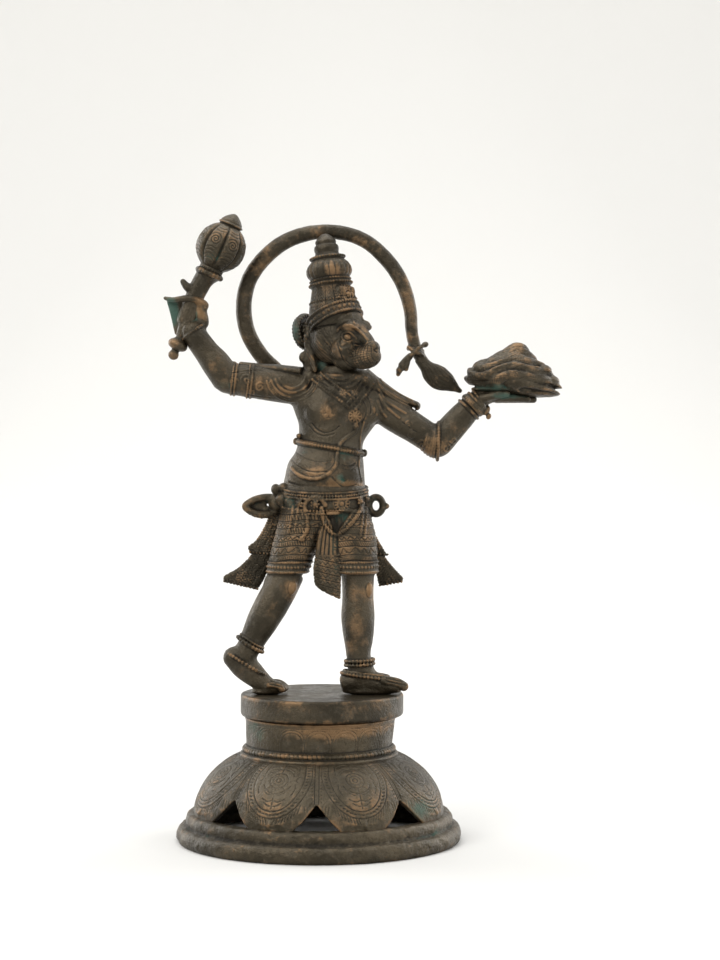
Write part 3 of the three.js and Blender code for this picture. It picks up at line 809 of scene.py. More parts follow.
def ribbon(rows, pleats, sides=44, step=1.4):
    """Cloth between two edges: rows are [left x, left z, right x, right z, y, half thickness].

    Pleats gives their number and their height, in half thicknesses, at the cloth's lower end.
    """
    rows = np.asarray(rows, float)
    middle = (rows[:, [0, 1]] + rows[:, [2, 3]]) / 2
    t = np.concatenate([[0], np.cumsum(np.maximum(np.hypot(*np.diff(middle, axis=0).T), 1e-3))])
    at = np.unique(np.concatenate([np.linspace(0, t[-1], int(t[-1] / step) + 2), t]))
    dense = hermite(t, rows, slopes(t, rows), at)
    angle = turns(sides)
    count, amount = pleats
    across = np.cos(angle)
    deep = np.sign(np.sin(angle)) * np.abs(np.sin(angle)) ** 0.7
    rings = []
    for share, (x0, z0, x1, z1, y, half) in zip(at / t[-1], dense):
        wave = amount * half * share * np.cos(count * math.pi * across)
        x = (x0 + x1) / 2 + across * (x1 - x0) / 2
        z = (z0 + z1) / 2 + across * (z1 - z0) / 2
        rings.append(np.stack([x, y + deep * half * 0.8 + wave, z], 1))
    return tube(np.stack(rings), [rings[0].mean(0), rings[-1].mean(0)])


REAR_SASH = [
    [-50, 196, -36, 196, 2, 7], [-53.5, 177, -38, 175, 6, 6], [-59.7, 162.5, -42, 160.5, 8, 5.4],
    [-67.5, 150.8, -44, 148.5, 9, 4.8], [-74.9, 144.2, -46, 139.5, 9.5, 4.4],
    [-72.5, 139.4, -47.5, 136.5, 10, 4.0],
]
REAR_SASH_END = [
    [-58, 160, -44, 158, 10, 4], [-69.5, 140, -46, 142, 10, 4.2], [-76.5, 131.5, -50, 131.5, 10.5, 4.2],
    [-85.5, 123.5, -54.5, 120.5, 11, 4.2], [-99.8, 113.4, -61.5, 106.5, 11.5, 4.0],
    [-98.6, 110.2, -64.8, 102.2, 11.5, 3.6],
]
FRONT_SASH = [
    [38, 190, 48, 188, 6, 6], [44, 172.5, 50.2, 170.5, 8, 4.6], [45, 158.5, 55, 154.5, 9, 4.4],
    [46, 146.5, 61, 144, 9.5, 4.2], [47, 139, 65.5, 136.6, 10, 3.8],
]
FRONT_SASH_END = [
    [44, 150, 58, 148, 10, 4], [46, 138.5, 63, 135.5, 10.5, 4.2], [50, 126.5, 70.5, 125.8, 11, 4.2],
    [54, 116.5, 77.5, 118, 11.5, 4.2], [56, 108.2, 81.8, 112.8, 12, 3.8], [57.5, 105.8, 80, 109.8, 12, 3.4],
]
CLOTH_END = [
    [0, 176, 18, 176, -22, 9], [-4.5, 156.5, 17.5, 156.5, -24, 7.4], [-6.5, 138.5, 18.5, 138.5, -24.5, 6.4],
    [-8.5, 124.5, 19.6, 124.5, -24.5, 5.8], [-7.2, 110.5, 19.2, 110.5, -24, 5.4],
    [-1.5, 104.1, 19.1, 102.8, -23.5, 5], [9.5, 98.3, 18.9, 97.1, -23, 4],
    [15.6, 95.4, 18.4, 94.6, -22.5, 2.6],
]


def sash():
    cloths = (REAR_SASH, 3, 0.05), (REAR_SASH_END, 4, 0.08), (FRONT_SASH, 3, 0.06), (FRONT_SASH_END, 4, 0.08)
    shells = [ribbon(rows, pleats) for rows, *pleats in cloths + ((CLOTH_END, 3, 0.10),)]
    # The bow: a pointed loop with its hollow, and the knots that it grows from.
    bow = [
        (-46, 1, 195), (-60, -1, 194.6), (-70, -2, 191.4), (-76.8, -2, 185.8), (-70.5, -2, 180.4),
        (-60, -2, 177.4), (-46, 1, 180),
    ]
    shells.append(cord(bow, [3.4, 3.6, 3.5, 3.4, 3.8, 4.0, 3.6]))
    shells += lumps([
        [-66, 2.4, 185.8, 11.6, 2.8, 7.4, -4], [-56.5, 2.4, 181.8, 6, 2.8, 4.8, -10],
        [-58.5, 2.4, 190.8, 5, 2.8, 3.6, 10], [-50, 4, 179, 6, 4, 5, -4], [-46, 0, 190, 8, 8, 9, 15],
        [-46, -5, 203, 5.0, 6, 5.5], [-38, -8, 205, 5.5, 6, 4.6], [-33, -13, 198, 5.4, 6, 5.4],
        [-40, -9, 193, 6, 6, 6.5], [-30, -18, 190, 5, 5, 6],
    ])
    # The ring of cloth at the other hip.
    shells.append(hoop([53.8, 4, 186.5], 6.8, 8.4, 3.6, nod=84, tall=5.2, around=96))
    return shells + lumps([[64, 3, 186, 3.4, 3.2, 3.0], [43, 0, 190, 5.5, 6, 9]])


# Lines and cords on the body, as they appear from the front: [x, z] in drawn units.

THREAD = [
    (34, 268), (33.5, 261.5), (25.5, 255.5), (18, 248.2), (15.2, 238.4), (14.3, 227.7), (8.5, 220.5),
    (0, 214.6), (-12.5, 213.4), (-24, 217.9), (-31, 225.5),
]
SECOND_THREAD = [(42, 270), (38.6, 259), (37.6, 241), (36.8, 223), (39.5, 211)]
LEFT_NECKLACE = [(-9.5, 312.5), (-2, 306), (5.4, 300.5), (16, 293), (28.5, 283)]
RIGHT_NECKLACE = [(51, 308), (44.5, 298.5), (38, 288), (33, 282)]
GARLAND = [(-0.7, 184), (1, 174), (6.4, 163), (14, 157.5), (21, 161), (28, 168), (35, 177), (41, 189)]
HOOKED_END = [
    (3, 187), (0, 192.5), (-5.5, 194.8), (-11.6, 193.8), (-16.8, 188), (-16.2, 180), (-14.8, 172),
    (-14.8, 163.3), (-20.5, 153.5),
]
ROSETTE = (19.2, 188.4)
NAVEL = (21.4, 211.5)
LEFT_NIPPLE = (6.3, 279.5)
RIGHT_NIPPLE = (51, 280)
PENDANT = (33, 275.6)
REAR_KNEE = (-29.5, 104.5)
FRONT_KNEE = (48, 102.5)
BELT_X = 2
BELT_Y = 1
BELT_NOD = 8.4
BELT_STUDS = 16


def scroll(x, z, radius, start=0, winds=1.4, hand=1):
    """Places along a curl of the view that winds in to its middle."""
    share = np.linspace(0, 1, int(22 * winds))
    turn = math.radians(start) + hand * share * winds * FULL_TURN
    reach = radius * (1 - 0.82 * share)
    return [(x + r * math.cos(t), z + r * math.sin(t)) for r, t in zip(reach, turn)]


def flower(front, x, z, radius, petals, core):
    """A round flower that lies on the surface."""
    shells = [lump(front.on(x, z), [core, 0.9 * core, core])]
    for px, pz in circle(x, z, 0.62 * radius, count=petals + 1)[:-1]:
        turn = math.degrees(math.atan2(pz - z, px - x))
        shells.append(lump(front.on(px, pz), [0.36 * radius, 1.7, 1.7 * radius / petals], turn))
    shells.append(front.strand(circle(x, z, radius, count=4 * petals), 0.85, sink=0.2))
    return shells


def lower_ornaments(front):
    """Belt, garland, pleats, hems, knee plates, anklets and foot chains."""
    shells = []
    # Belt: rims that dip at the front, rows of beads, studs in rosettes, and a flower for its clasp.
    for level, across, deep, size in (
        (204.6, 43.2, 34.4, 1.15), (198.6, 43.7, 35.0, 1.0), (184.5, 43.2, 34.4, 1.15),
    ):
        shells.append(hoop([BELT_X, BELT_Y, level], across, deep, size, nod=BELT_NOD, around=128))
    shells += bead_ring([BELT_X, BELT_Y, 201.6], 43.6, 34.9, 92, 1.15, BELT_NOD)
    shells += bead_ring([BELT_X, BELT_Y, 187.2], 43.6, 34.6, 84, 1.25, BELT_NOD)
    dip = math.tan(math.radians(BELT_NOD))
    for a in (np.arange(BELT_STUDS) + 0.5) * FULL_TURN / BELT_STUDS:
        at = np.array([BELT_X + 43.6 * math.cos(a), BELT_Y + 35 * math.sin(a), 194 + 35 * math.sin(a) * dip])
        if abs(at[0] - ROSETTE[0]) > 9 or at[1] > 0:
            shells.append(ball(at, 2.7))
            for b in turns(7):
                reach = np.array([-math.sin(a) * math.cos(b), math.cos(a) * math.cos(b), math.sin(b)])
                shells.append(ball(at + 3.6 * reach, 1.15))
    shells += flower(front, *ROSETTE, 8.0, 13, 2.8)
    # Garland, twisted like a rope, and the sash end that hooks over the belt.
    shells.append(front.strand(GARLAND, 1.8, sink=0.0))
    shells += front.beads(GARLAND, 2.5, 2.9, sink=-0.1)
    shells.append(front.strand(HOOKED_END, 2.6, sink=0.15))
    shells.append(lump(front.on(-21, 152.8), [4.4, 2.4, 2.1], -10))
    # Hanging pleats at both hips.
    for places in (
        [(44.5, 190), (44, 172), (42.5, 154)], [(40.5, 184), (40, 170), (38.5, 157)],
        [(-29, 186), (-31, 172), (-33.5, 160)], [(-24, 186), (-25.5, 172), (-27.5, 163)],
    ):
        shells.append(front.strand(places, 1.8, sink=0.35))
    # Hems of the breeches.
    for limb in (REAR_BREECH, FRONT_BREECH):
        shells.append(limb.band(0.83, 1.0, 0.9))
        for place, count, size, lift in (
            (0.825, 60, 1.15, 0.9), (0.90, 40, 1.5, 0.7), (0.975, 60, 1.25, 0.8),
        ):
            shells += limb.beads(place, count, size, lift)
    # Knee plates.
    for (x, z), half, turn in ((REAR_KNEE, [5.8, 5.0, 8.2], -12), (FRONT_KNEE, [4.8, 6.0, 8.2], 0)):
        shells.append(lump(front.on(x, z, 2.4), half, turn))
    # Anklets and foot chains.
    for at, across, deep, count, size, tilt, bar in (
        ([-71, -14.4, 49.4], 13.9, 13.8, 24, 2.1, -31.5, 0.4),
        ([-69.2, -14.4, 52.8], 13.2, 13.2, 34, 1.1, -31.5, 0.6),
        ([37.4, -13, 33.6], 13.7, 13.5, 25, 1.9, 3.6, 0.4),
        ([37.4, -13, 29.6], 13.9, 13.7, 25, 1.8, 3.6, 0.4),
        ([-74.2, -15, 30.6], 22.8, 13.0, 36, 1.9, -30.5, 0.5),
        ([44, -13, 18.0], 24.6, 12.7, 42, 1.8, -7.5, 0.5),
    ):
        shells += beaded_hoop(at, across, deep, count, size, tilt=tilt, bar=bar)
    shells.append(hoop([44, -13, 21.0], 22.6, 12.4, 1.1, tilt=-7.5, around=96))
    # Beaded lower hems of the sash.
    for row in (REAR_SASH_END[-1], REAR_SASH[-1], FRONT_SASH_END[-1], FRONT_SASH[-1]):
        x0, z0, x1, z1, y, half = row
        for share in np.linspace(0.02, 0.98, max(4, int(math.hypot(x1 - x0, z1 - z0) / 3.0))):
            at = [x0 + (x1 - x0) * share, y - 0.4 * half, z0 + (z1 - z0) * share + 0.6]
            shells.append(lump(at, [1.7, 3.0, 1.6]))
    return shells


def upper_ornaments(front):
    """Chest band, threads, necklaces, collar, stole, arm rings, bangles and the gathered sleeve."""
    shells = []
    # Band under the chest, beaded, with its studs.
    for shift in (-1.9, 1.9):
        shells.append(hoop([8.2 - 0.15 * shift, -1, 244.6 + shift], 33.3, 24.3, 1.0, tilt=-10, around=128))
    shells += bead_ring([8.2, -1, 244.6], 33.9, 25.2, 66, 1.9, tilt=-10)
    shells += lumps(
        [[-26, -3, 250.8, 3.0, 4, 3.6], [42.3, -3, 239.2, 3.0, 4, 3.8], [-23, -11, 256, 2.6, 2.6, 2.6]]
    )
    # Threads over the chest and belly, and over the back.
    shells.append(front.strand(THREAD, 2.2, sink=0.25))
    shells.append(front.strand(SECOND_THREAD, 1.2, sink=0))
    shells += front.beads(SECOND_THREAD, 1.35, 2.2)
    for places, shift in ((LEFT_NECKLACE, 4.4), (RIGHT_NECKLACE, -4.2)):
        shells += front.beads(places, 1.9, 2.9, sink=0.15)
        shells.append(front.strand([(x + shift, z + 3.6) for x, z in places], 1.0, sink=0.2))
        shells += front.beads([(x + 1.9 * shift, z + 6.6) for x, z in places], 1.3, 2.3, sink=0)
    # Collar: rows of beads and small flowers between the two necklaces.
    for radius in (18.5, 22.5, 26.5, 30.5):
        shorter = 0.6 * (radius - 18)
        shells += front.beads(circle(19, 331, radius, 222 + shorter, 318 - shorter), 1.0, 2.1)
    for x, z in ((-2.5, 313), (11, 303.5), (21, 299.5), (33, 300), (43.5, 312)):
        shells += flower(front, x, z, 3.6, 7, 1.5)
    shells += beaded_hoop([19, -3, 318.4], 20.4, 18.2, 40, 1.7, nod=8, bar=1.2)
    # Pendant, with the chest's two ornaments.
    shells += flower(front, *PENDANT, 6.2, 10, 2.9)
    shells.append(lump(front.on(33.5, 265.6), [3.2, 2.2, 3.0]))
    for x, z in (LEFT_NIPPLE, RIGHT_NIPPLE):
        shells += [
            lump(front.on(x, z + 2), [2.6, 0.9, 4.4]),
            lump(front.on(x - 2.6, z - 2.6), [2.0, 0.8, 2.0]),
            lump(front.on(x + 2.6, z - 2.6), [2.0, 0.8, 2.0]),
            front.strand(circle(x, z, 6.0, 200, 340), 0.7),
        ]
    # Folds of the stole: curved ridges round the left shoulder and falling ones on the right.
    for radius in (13, 17.5, 22, 26.5):
        shells.append(front.strand(circle(-29.5, 317, radius, 194, 343), 1.4, sink=0.4))
    shells += front.beads(circle(-29.5, 317, 24.3, 198, 340), 0.95, 1.9)
    falls = (
        [(57, 315), (62, 308), (74, 300), (90, 291.5)],
        [(56, 309), (63, 300), (74, 292.5), (88, 285)],
        [(56.5, 303), (63, 292.5), (73, 285), (83, 279)],
        [(57.5, 297), (63.5, 286), (70, 280), (77, 274.5)],
        [(55.5, 291), (59, 282), (64, 275.5)],
    )
    for places in falls:
        shells.append(front.strand(places, 1.7, sink=0.35))
    shells += front.beads([(x - 1.0, z + 3.2) for x, z in falls[1]], 1.1, 2.1, sink=0)
    # Curls and armlets on both arms.
    for x, z, radius, start, hand in (
        (-62, 305, 4.6, 60, 1), (-75, 312, 6.2, 200, -1), (-88, 310, 4.6, 20, 1), (-70, 300, 3.4, 120, 1),
        (90, 258, 4.6, 100, 1), (100, 247, 5.8, 180, -1), (86, 268, 3.6, 0, 1), (124, 244, 4.2, 60, -1),
        (131, 252, 3.4, 200, 1),
    ):
        shells.append(front.strand(scroll(x, z, radius, start, 1.3, hand), 1.2, sink=0.35))
    for limb, place in ((MACE_UPPER_ARM, 0.70), (MACE_UPPER_ARM, 0.90)):
        shells.append(limb.bangle(place, 1.1, lift=0.2))
        shells += limb.beads(place + 0.03, 46, 1.1, lift=0.3)
    shells += lumps(
        [[-95, -3, 328.5, 3.0, 5, 4.6], [-88, -3, 328, 3.2, 5, 2.6], [95.5, 3, 285.5, 2.8, 5, 4.0, -20]]
    )
    # Wrists: one beaded ring by the mace, three by the mountain with a stub below.
    shells += beaded_hoop([-128, -6, 359.5], 12.6, 13.4, 30, 1.6, tilt=36)
    for place, size in ((0.50, 1.5), (0.54, 1.8), (0.58, 1.8), (0.62, 1.7), (0.655, 1.4)):
        shells.append(MOUNTAIN_FOREARM.bangle(place, size, lift=0.3))
    shells += MOUNTAIN_FOREARM.beads(0.56, 34, 1.2, lift=1.5)
    shells += lumps([[163.5, -5, 281.6, 3.6, 4.4, 5.2, -30], [166.0, -5, 275.6, 2.6, 3.0, 3.2, -20]])
    # Gathered sleeve at the bent elbow, its pleats running together in the bend.
    for k in range(6):
        top = np.array([116.6 - 1.7 * k, 268.6 - 0.3 * k])
        foot = np.array([113.6 - 2.9 * k, 233 + 0.3 * k * k])
        middle, span = (top + foot) / 2, np.linalg.norm(top - foot) / 2
        lean = math.degrees(math.atan2(top[1] - foot[1], top[0] - foot[0]))
        shells.append(hoop([middle[0], -4, middle[1]], span - 2.0, 13.9, 1.6, tilt=lean, around=96))
    shells += beaded_hoop([115.6, -4, 251.0], 18.3, 14.6, 40, 1.9, tilt=88, bar=0.5)
    return shells


BROCADE_SPAN = (130.5, 184)
ROW_PITCH = 6.4
HOLLOW_DEPTH = 3.6


def brocade(skin, limb, low, high):
    """Woven bands cut into a leg of the breeches."""
    _, angle, out = limb.coordinates(skin.points)
    z = skin.points[:, 2]
    on = np.flatnonzero(within(out, 0.86, 1.16) & within(z, low, high))
    around = 24 * angle[on]
    level = z[on] + 0.9 * np.sin(2 * angle[on] + 1) + 0.5 * np.sin(5 * angle[on])
    depth = np.zeros(len(on))

    def inside(bottom, top):
        return within(level, bottom + 0.4, top - 0.4)

    # Lines round the leg, a creeper in three of the bands and slanted strokes in the others.
    for middles, width, deep in (
        ((179, 172, 165, 158.5, 152, 146.6, 138.2, 132.6), 0.55, 0.85), ((170.4, 157, 137.0), 0.4, 0.6),
    ):
        for middle in middles:
            depth = np.maximum(depth, deep * bell(level - middle, width))
    for bottom, top, sway, length in ((165, 170.4, 1.5, 7), (152, 157, 1.4, 5.6), (138.2, 146.6, 2.6, 9.5)):
        turn = FULL_TURN * around / length + 0.9 * np.sin(FULL_TURN * around / (2.7 * length))
        middle = (bottom + top) / 2
        wave = bell(level - middle - sway * np.sin(turn), 0.5)
        curl = bell(level - middle + 0.7 * sway * np.cos(2 * turn), 0.42) * (np.sin(turn) > -0.3)
        depth = np.maximum(depth, inside(bottom, top) * np.maximum(0.8 * wave, 0.6 * curl))
    for bottom, top, pitch in ((172, 179, 2.6), (158.5, 165, 2.1), (146.6, 152, 2.3), (132.6, 137, 1.9)):
        turn = FULL_TURN * (around + 0.5 * level) / pitch
        depth = np.maximum(depth, inside(bottom, top) * 0.62 * np.maximum(0, np.cos(turn)) ** 2)
    fade = rising(level, low, 2) * falling(level, high, 3)
    skin.pressed[on] = np.minimum(skin.pressed[on], -depth * fade)


def lower_lines(front):
    """Brocade, folds, the cloth's hollow, toes, nails and dents of the lower body."""
    skin = front.skin
    for limb in (REAR_BREECH, FRONT_BREECH):
        brocade(skin, limb, *BROCADE_SPAN)
    p = skin.points
    x, y, z = p.T
    # Weave of the sash's two ends.
    cloth = ((x < -46) & within(z, 100, 178) & (y > -6)) | ((x > 44) & within(z, 103, 176) & (y > 3))
    along = np.where(x < 0, z + 0.45 * x, z - 0.45 * x)
    across = np.where(x < 0, x - 0.45 * z, x + 0.45 * z)
    bend = 0.8 * np.sin(FULL_TURN * along / 17)
    weave = 0.18 * np.maximum(0, np.cos(FULL_TURN * (across + bend) / 4.1)) ** 2 + 0.35 * waves(p, 2.6, 71)
    weave += 0.46 * np.maximum(0, np.cos(FULL_TURN * (along + 0.9 * np.sin(across)) / 2.9)) ** 2
    skin.pressed -= cloth * weave
    # Rows and curls of the cloth end between the legs.
    middle = (y < -20) & within(z, 95, 137) & within(x, -9, 20)
    slanted = z + 0.25 * x
    rows = np.cos(FULL_TURN * slanted / ROW_PITCH)
    curls = bell(np.mod(slanted, ROW_PITCH) - ROW_PITCH / 2 - 1.3 * np.sin(FULL_TURN * x / 5), 0.5)
    skin.pressed -= middle * np.maximum(0.75 * (rows > 0.93), 0.6 * curls * (rows < 0.6))
    # The hollow beside the garland.
    rise = rising(z, 160, 21)
    hollow = rising(x - 12.5 + 10 * rise, 0, 2.5) * falling(x, 15 + 16 * rise, 2.5)
    hollow *= falling(z, 182, 2) * rising(z, 160, 3) * (y < -10)
    skin.pressed = skin.pressed * (1 - hollow) - HOLLOW_DEPTH * hollow
    # Folds of the cloth end, gaps between the toes, and nails.
    for shift in (-8, -4, 0, 4, 8):
        fold = [(9 + 0.75 * shift, 172), (7.5 + 0.95 * shift, 155), (6.5 + 1.1 * shift, 138)]
        front.engrave([(fold, 0.85, 1.0)])
    for places in (
        [(-52, 8.4), (-44, 6.4), (-39.5, 5.4)], [(-51, 11.6), (-43.5, 9.4), (-38.5, 8.0)],
        [(64, 11.5), (76, 8.6), (84.5, 7.4)], [(64, 14.8), (75, 12.2), (83.5, 10.6)],
    ):
        front.engrave([(places, 0.8, 1.0)])
    for nail in ((-40, 7.4), (-39, 8.2), (82, 8.5), (80.5, 9.6)):
        front.engrave([(circle(*nail, 1.7, 20, 200, count=9), 0.5, 0.5)], step=0.5)
    # Dents on the shins.
    shins = within(z, 22, 118) & (y < 4)
    skin.pressed += shins * 0.10 * waves(p, 9, 51)
    skin.press()


def upper_lines(front):
    """Folds of the skin and stole, navel, crease over the belt, wrist lines and hatching."""
    skin = front.skin
    front.engrave(
        (
            ([(-9.8, 268.7), (-5.5, 263.5), (1.5, 259.8), (11.5, 261.6), (17, 266)], 0.9, 0.75),
            ([(-12.5, 266), (-7, 260), (1.5, 256.4), (11.5, 258.4)], 0.8, 0.6),
            ([(-30, 232), (-21, 224), (-9, 220.5), (4, 221)], 0.9, 0.6),
            ([(-26, 240), (-14, 233), (0, 230.5), (9, 232)], 0.8, 0.45),
            ([(20, 228), (26, 226.5), (33, 229)], 0.8, 0.6),
            ([(21, 224), (27, 222.5), (32, 224.5)], 0.7, 0.5),
            ([(40, 292), (44, 285), (43, 276), (40, 270)], 0.8, 0.6),
            ([(46, 294), (48.5, 286), (48, 278)], 0.8, 0.6),
            ([(-52, 294.5), (-62, 295.5), (-75, 297.5)], 0.8, 0.6),
            ([(-60, 322), (-76, 321), (-90, 319)], 0.8, 0.5),
            ([(80, 270), (88, 264), (97, 259)], 0.8, 0.6),
            ([(120, 240), (132, 250), (143, 263)], 0.7, 0.4),
            ([(10, 215), (21, 205.5), (34, 207.5)], 0.8, 0.4),
            ([(-33, 210), (-18, 205), (0, 201.5), (20, 200.3), (36, 202), (43, 205)], 1.2, 1.3),
        )
    )
    navel = [(NAVEL[0] - 0.8, NAVEL[1] + 0.6), (NAVEL[0] + 0.8, NAVEL[1] - 0.6)]
    front.engrave([(navel, 2.0, 1.8)], step=0.4)
    for x, z in ((-137, 372), (-133, 366)):
        front.engrave([([(x - 2, z - 4), (x, z), (x + 2, z + 4)], 0.6, 0.4)], step=0.5)
    skin.pressed += 0.08 * waves(skin.points, 8, 52)
    # Hatched cloth on the stole.
    x, y, z = skin.points.T
    falls = (z > 280) & within(x, 52, 97) & (y < 0) & (z > 330 - 0.55 * x)
    skin.pressed -= falls * 0.25 * np.maximum(0, np.cos(FULL_TURN * (x - z) / 2.2))
    skin.press()


def dressed(flesh, cloth, fingers, ornaments, lines):
    """Flesh with its cloth, fingers or toes, ornaments and engraving, and the undressed form's tree."""
    form = Skin(flesh, voxel=1.2, rounds=8)
    folds = Skin(cloth, voxel=0.9, rounds=3, firm=True)
    layers = [(form.points, form.faces), (folds.points, folds.faces)] + fingers
    front = Front(Skin(layers, voxel=0.9, rounds=1))
    skin = Skin(layers + ornaments(front), voxel=0.62, rounds=2, firm=True)
    lines(Front(skin))
    return skin, front.tree


# The head, modelled with the face along +X and then turned and tipped back.

HEAD_PLACE = (
    Matrix.Translation((12, -6, 354))
    @ Matrix.Rotation(math.radians(-40), 4, "Z")
    @ Matrix.Rotation(math.radians(-9), 4, "Y")
)
HEAD_BACK = HEAD_PLACE.inverted()
MUZZLE = [37, 0, -25]
CROWN_X = 4
WHEEL_Z = 12
CROWN = [
    (9, 0), (10, 23.6), (12, 24.4), (15, 25.2), (18, 25.6), (22, 25.4), (28, 24.8), (31, 24.2), (33, 23.8),
    (34.5, 23.2), (37, 22.6), (44, 20.8), (49, 19.6), (50.5, 19.6), (51.5, 20.8), (53, 21.4), (54.5, 20.8),
    (55.3, 19.4), (56, 20.4), (57.4, 20.4), (58.4, 19.2), (60, 20.4), (62, 22.0), (65, 23.0), (69, 22.7),
    (73, 20.8), (76, 17.8), (77.6, 16.0), (78.4, 17.0), (80, 17.4), (81.4, 16.4), (82.2, 13.6), (83.4, 12.2),
    (85, 11.6), (87, 12.2), (89.6, 12.5), (92, 11.8), (93.4, 10.2), (94.4, 9.9), (95.6, 10.6), (97.2, 10.3),
    (99.6, 8.6), (102.2, 6.2), (104.2, 3.6), (105, 0),
]


def on_head(shells):
    return [(carried(points, HEAD_PLACE), faces) for points, faces in shells]


def mirrored(points):
    """Points of the near side of the head, carried over to its far side."""
    return carried(carried(points, HEAD_BACK) * [1, -1, 1], HEAD_PLACE)


def flutes(t, angle):
    """Shallow ribs round the crown's dome."""
    inside = rising(t, 59, 3) * falling(t, 76.5, 3)
    return 1 - 0.055 * inside * (1 - np.abs(np.sin(11 * angle))) ** 1.4


def head():
    """Skull, muzzle, crown, diadem, hair wheel, locks and ears, with the face's lines."""
    bare = lumps([
        [0, 0, 0, 26, 23.5, 27], [19, 0, -4, 19.5, 16, 21],
        [37, 0, -27, 17.5, 13.5, 11.5],  # muzzle
        [47.2, 0, -19, 7.6, 8.2, 7.2],
        [17, 0, -25, 18, 15, 11],  # jaw
        [20, 0, 13, 14.4, 17.5, 12],  # forehead
    ])
    bare.append(cord([(28, 0, 7), (36, 0, -2), (42.5, 0, -10.5)], [8.4, 6.6, 5.8]))
    for side in (-1, 1):
        bare += lumps([
            [29.5, side * 8.5, 5.0, 9.6, 9.8, 6.8],
            [19, side * 12, -15, 14, 9.5, 12.5],
            [0, side * 21, -2, 6.0, 5.0, 12],
        ])
    wheel = [
        (-4, 0), (-4, 15.2), (-3.2, 16.2), (-2.6, 18.2), (0, 19.6), (2.6, 18.2), (3.2, 16.2), (3.8, 15.2),
        (4, 0),
    ]
    hard = [
        lathe([CROWN_X, 0, 0], [CROWN_X, 0, 1], CROWN, segments=192, wave=flutes),
        lathe([-34, 0, WHEEL_Z], [-33, 0, WHEEL_Z], wheel, segments=96),
        cord([(-34, 0, WHEEL_Z), (-16, 0, 8)], 7.5),
    ]
    for radius, count, size in ((16.6, 30, 1.7), (9.5, 14, 2.2), (0, 1, 3.4)):
        for a in turns(count):
            for x in (-38, -30):
                hard.append(ball([x, radius * math.cos(a), WHEEL_Z + radius * math.sin(a)], size))
    # The diadem: a band that rises over the brow, with a rope along both rims.
    band = 19
    middle = np.array([CROWN_X, 0, 19.0])
    hard.append(hoop(middle, 25.9, 25.4, 1.6, tilt=band, around=120, tall=5.6))
    for up in (-5.0, 5.0):
        rim = turned_by(np.array([[0, 0, up]]), band)[0] + middle
        hard.append(hoop(rim, 27.0, 26.4, 1.35, tilt=band, around=120))
    for up, count, size in ((-5.0, 60, 1.6), (5.0, 60, 1.6), (0, 30, 1.7)):
        for a in turns(count):
            bead = np.array([[27.4 * math.cos(a), 26.8 * math.sin(a), up]])
            hard.append(ball(turned_by(bead, band)[0] + middle, size))
    for side in (-1, 1):
        # Locks of hair behind the ears.
        for k in range(4):
            root = (-16 - 1.6 * k, side * (13 + 1.5 * k), 10 - 2 * k)
            lock = [root, (-19 - k, side * 15, -8), (-17, side * 15, -24 - 2 * k)]
            hard.append(cord(lock, [3.0, 3.4, 2.4]))
    # Rings of beads on the crown.
    for t, count, r, size in (
        (53, 44, 21.2, 1.35), (80, 34, 17.2, 1.3), (35.5, 46, 23.2, 1.1), (57, 44, 20.4, 1.0),
    ):
        for a in turns(count):
            hard.append(ball([CROWN_X + r * math.cos(a), r * math.sin(a), t], size))
    form = Skin(on_head(bare), voxel=0.9, rounds=8)
    base = [(form.points, form.faces)] + on_head(hard)
    front = Front(Skin(base, voxel=0.9, rounds=1))
    # Shell-shaped rosette with a boss on the crown, eye, brow and cheek cords, curls beside the face.
    near = [lump(front.on(18.5, 400.5, 0.6), [5.8, 3.0, 6.2], 20), ball(front.on(25.8, 397, -0.6), 3.3)]
    for a in np.radians(np.arange(20, 260, 24)):
        c, s = math.cos(a), math.sin(a)
        near.append(front.strand([(19.5 + r * c, 400 + r * s) for r in (2.0, 6.6)], 0.8, sink=-0.6))
    near.append(front.strand(circle(25.8, 397, 4.6, count=20), 0.8, sink=0.1))
    near.append(lump(front.on(25.2, 354.8, 0.3), [3.8, 3.0, 3.1], -12))
    for places, radius, sink in (
        ([(19.6, 354.6), (21.8, 358.8), (26.2, 360.0), (31, 356.6), (34, 353)], 1.0, 0),
        ([(20.2, 352.8), (24, 350.2), (29.4, 351.2)], 0.85, 0),
        ([(46, 352), (44, 347.5), (39.5, 346.4), (33, 347)], 1.0, 0.1),
        ([(15, 361), (18.5, 364.6), (25, 367), (32.5, 364.4), (39, 359.3), (45.8, 351.8)], 1.7, 0.2),
        ([(24.6, 377), (28.4, 378.6), (30.6, 373), (32.4, 368.4)], 1.2, 0.2),
    ):
        near.append(front.strand(places, radius, sink))
    for x, z, r, start, hand in (
        (6, 357, 3.0, 0, 1), (4, 347, 3.2, 90, -1), (9, 340, 2.8, 200, 1), (-2, 361, 2.6, 0, -1),
    ):
        near.append(front.strand(scroll(x, z, r, start, 1.2, hand), 0.7, sink=0.2))
    far = [(mirrored(points), faces[:, ::-1]) for points, faces in near]
    skin = Skin(base + near + far, voxel=0.58, rounds=2, firm=True)
    front = Front(skin)
    # Lines of the nose, mouth, cheek and eye.
    for places, width, depth in (
        ([(16.5, 351), (19, 345), (23, 346), (31, 348.5)], 1.5, 0.8),
        ([(15, 348), (18, 339), (21.5, 331), (29, 324.5), (39, 321.5)], 1.0, 0.9),
        ([(24, 331), (29, 326.8), (38, 324.4), (48, 325.4), (55, 330)], 0.8, 1.0),
        ([(33, 348.5), (42, 347), (48.5, 349.5)], 1.0, 0.8),
        ([(54.5, 343.6), (52.5, 341.8), (54.2, 340)], 1.0, 0.9),
    ):
        path = front.path(places, step=0.6)
        skin.line(path, width, depth)
        skin.line(mirrored(path), width, depth)
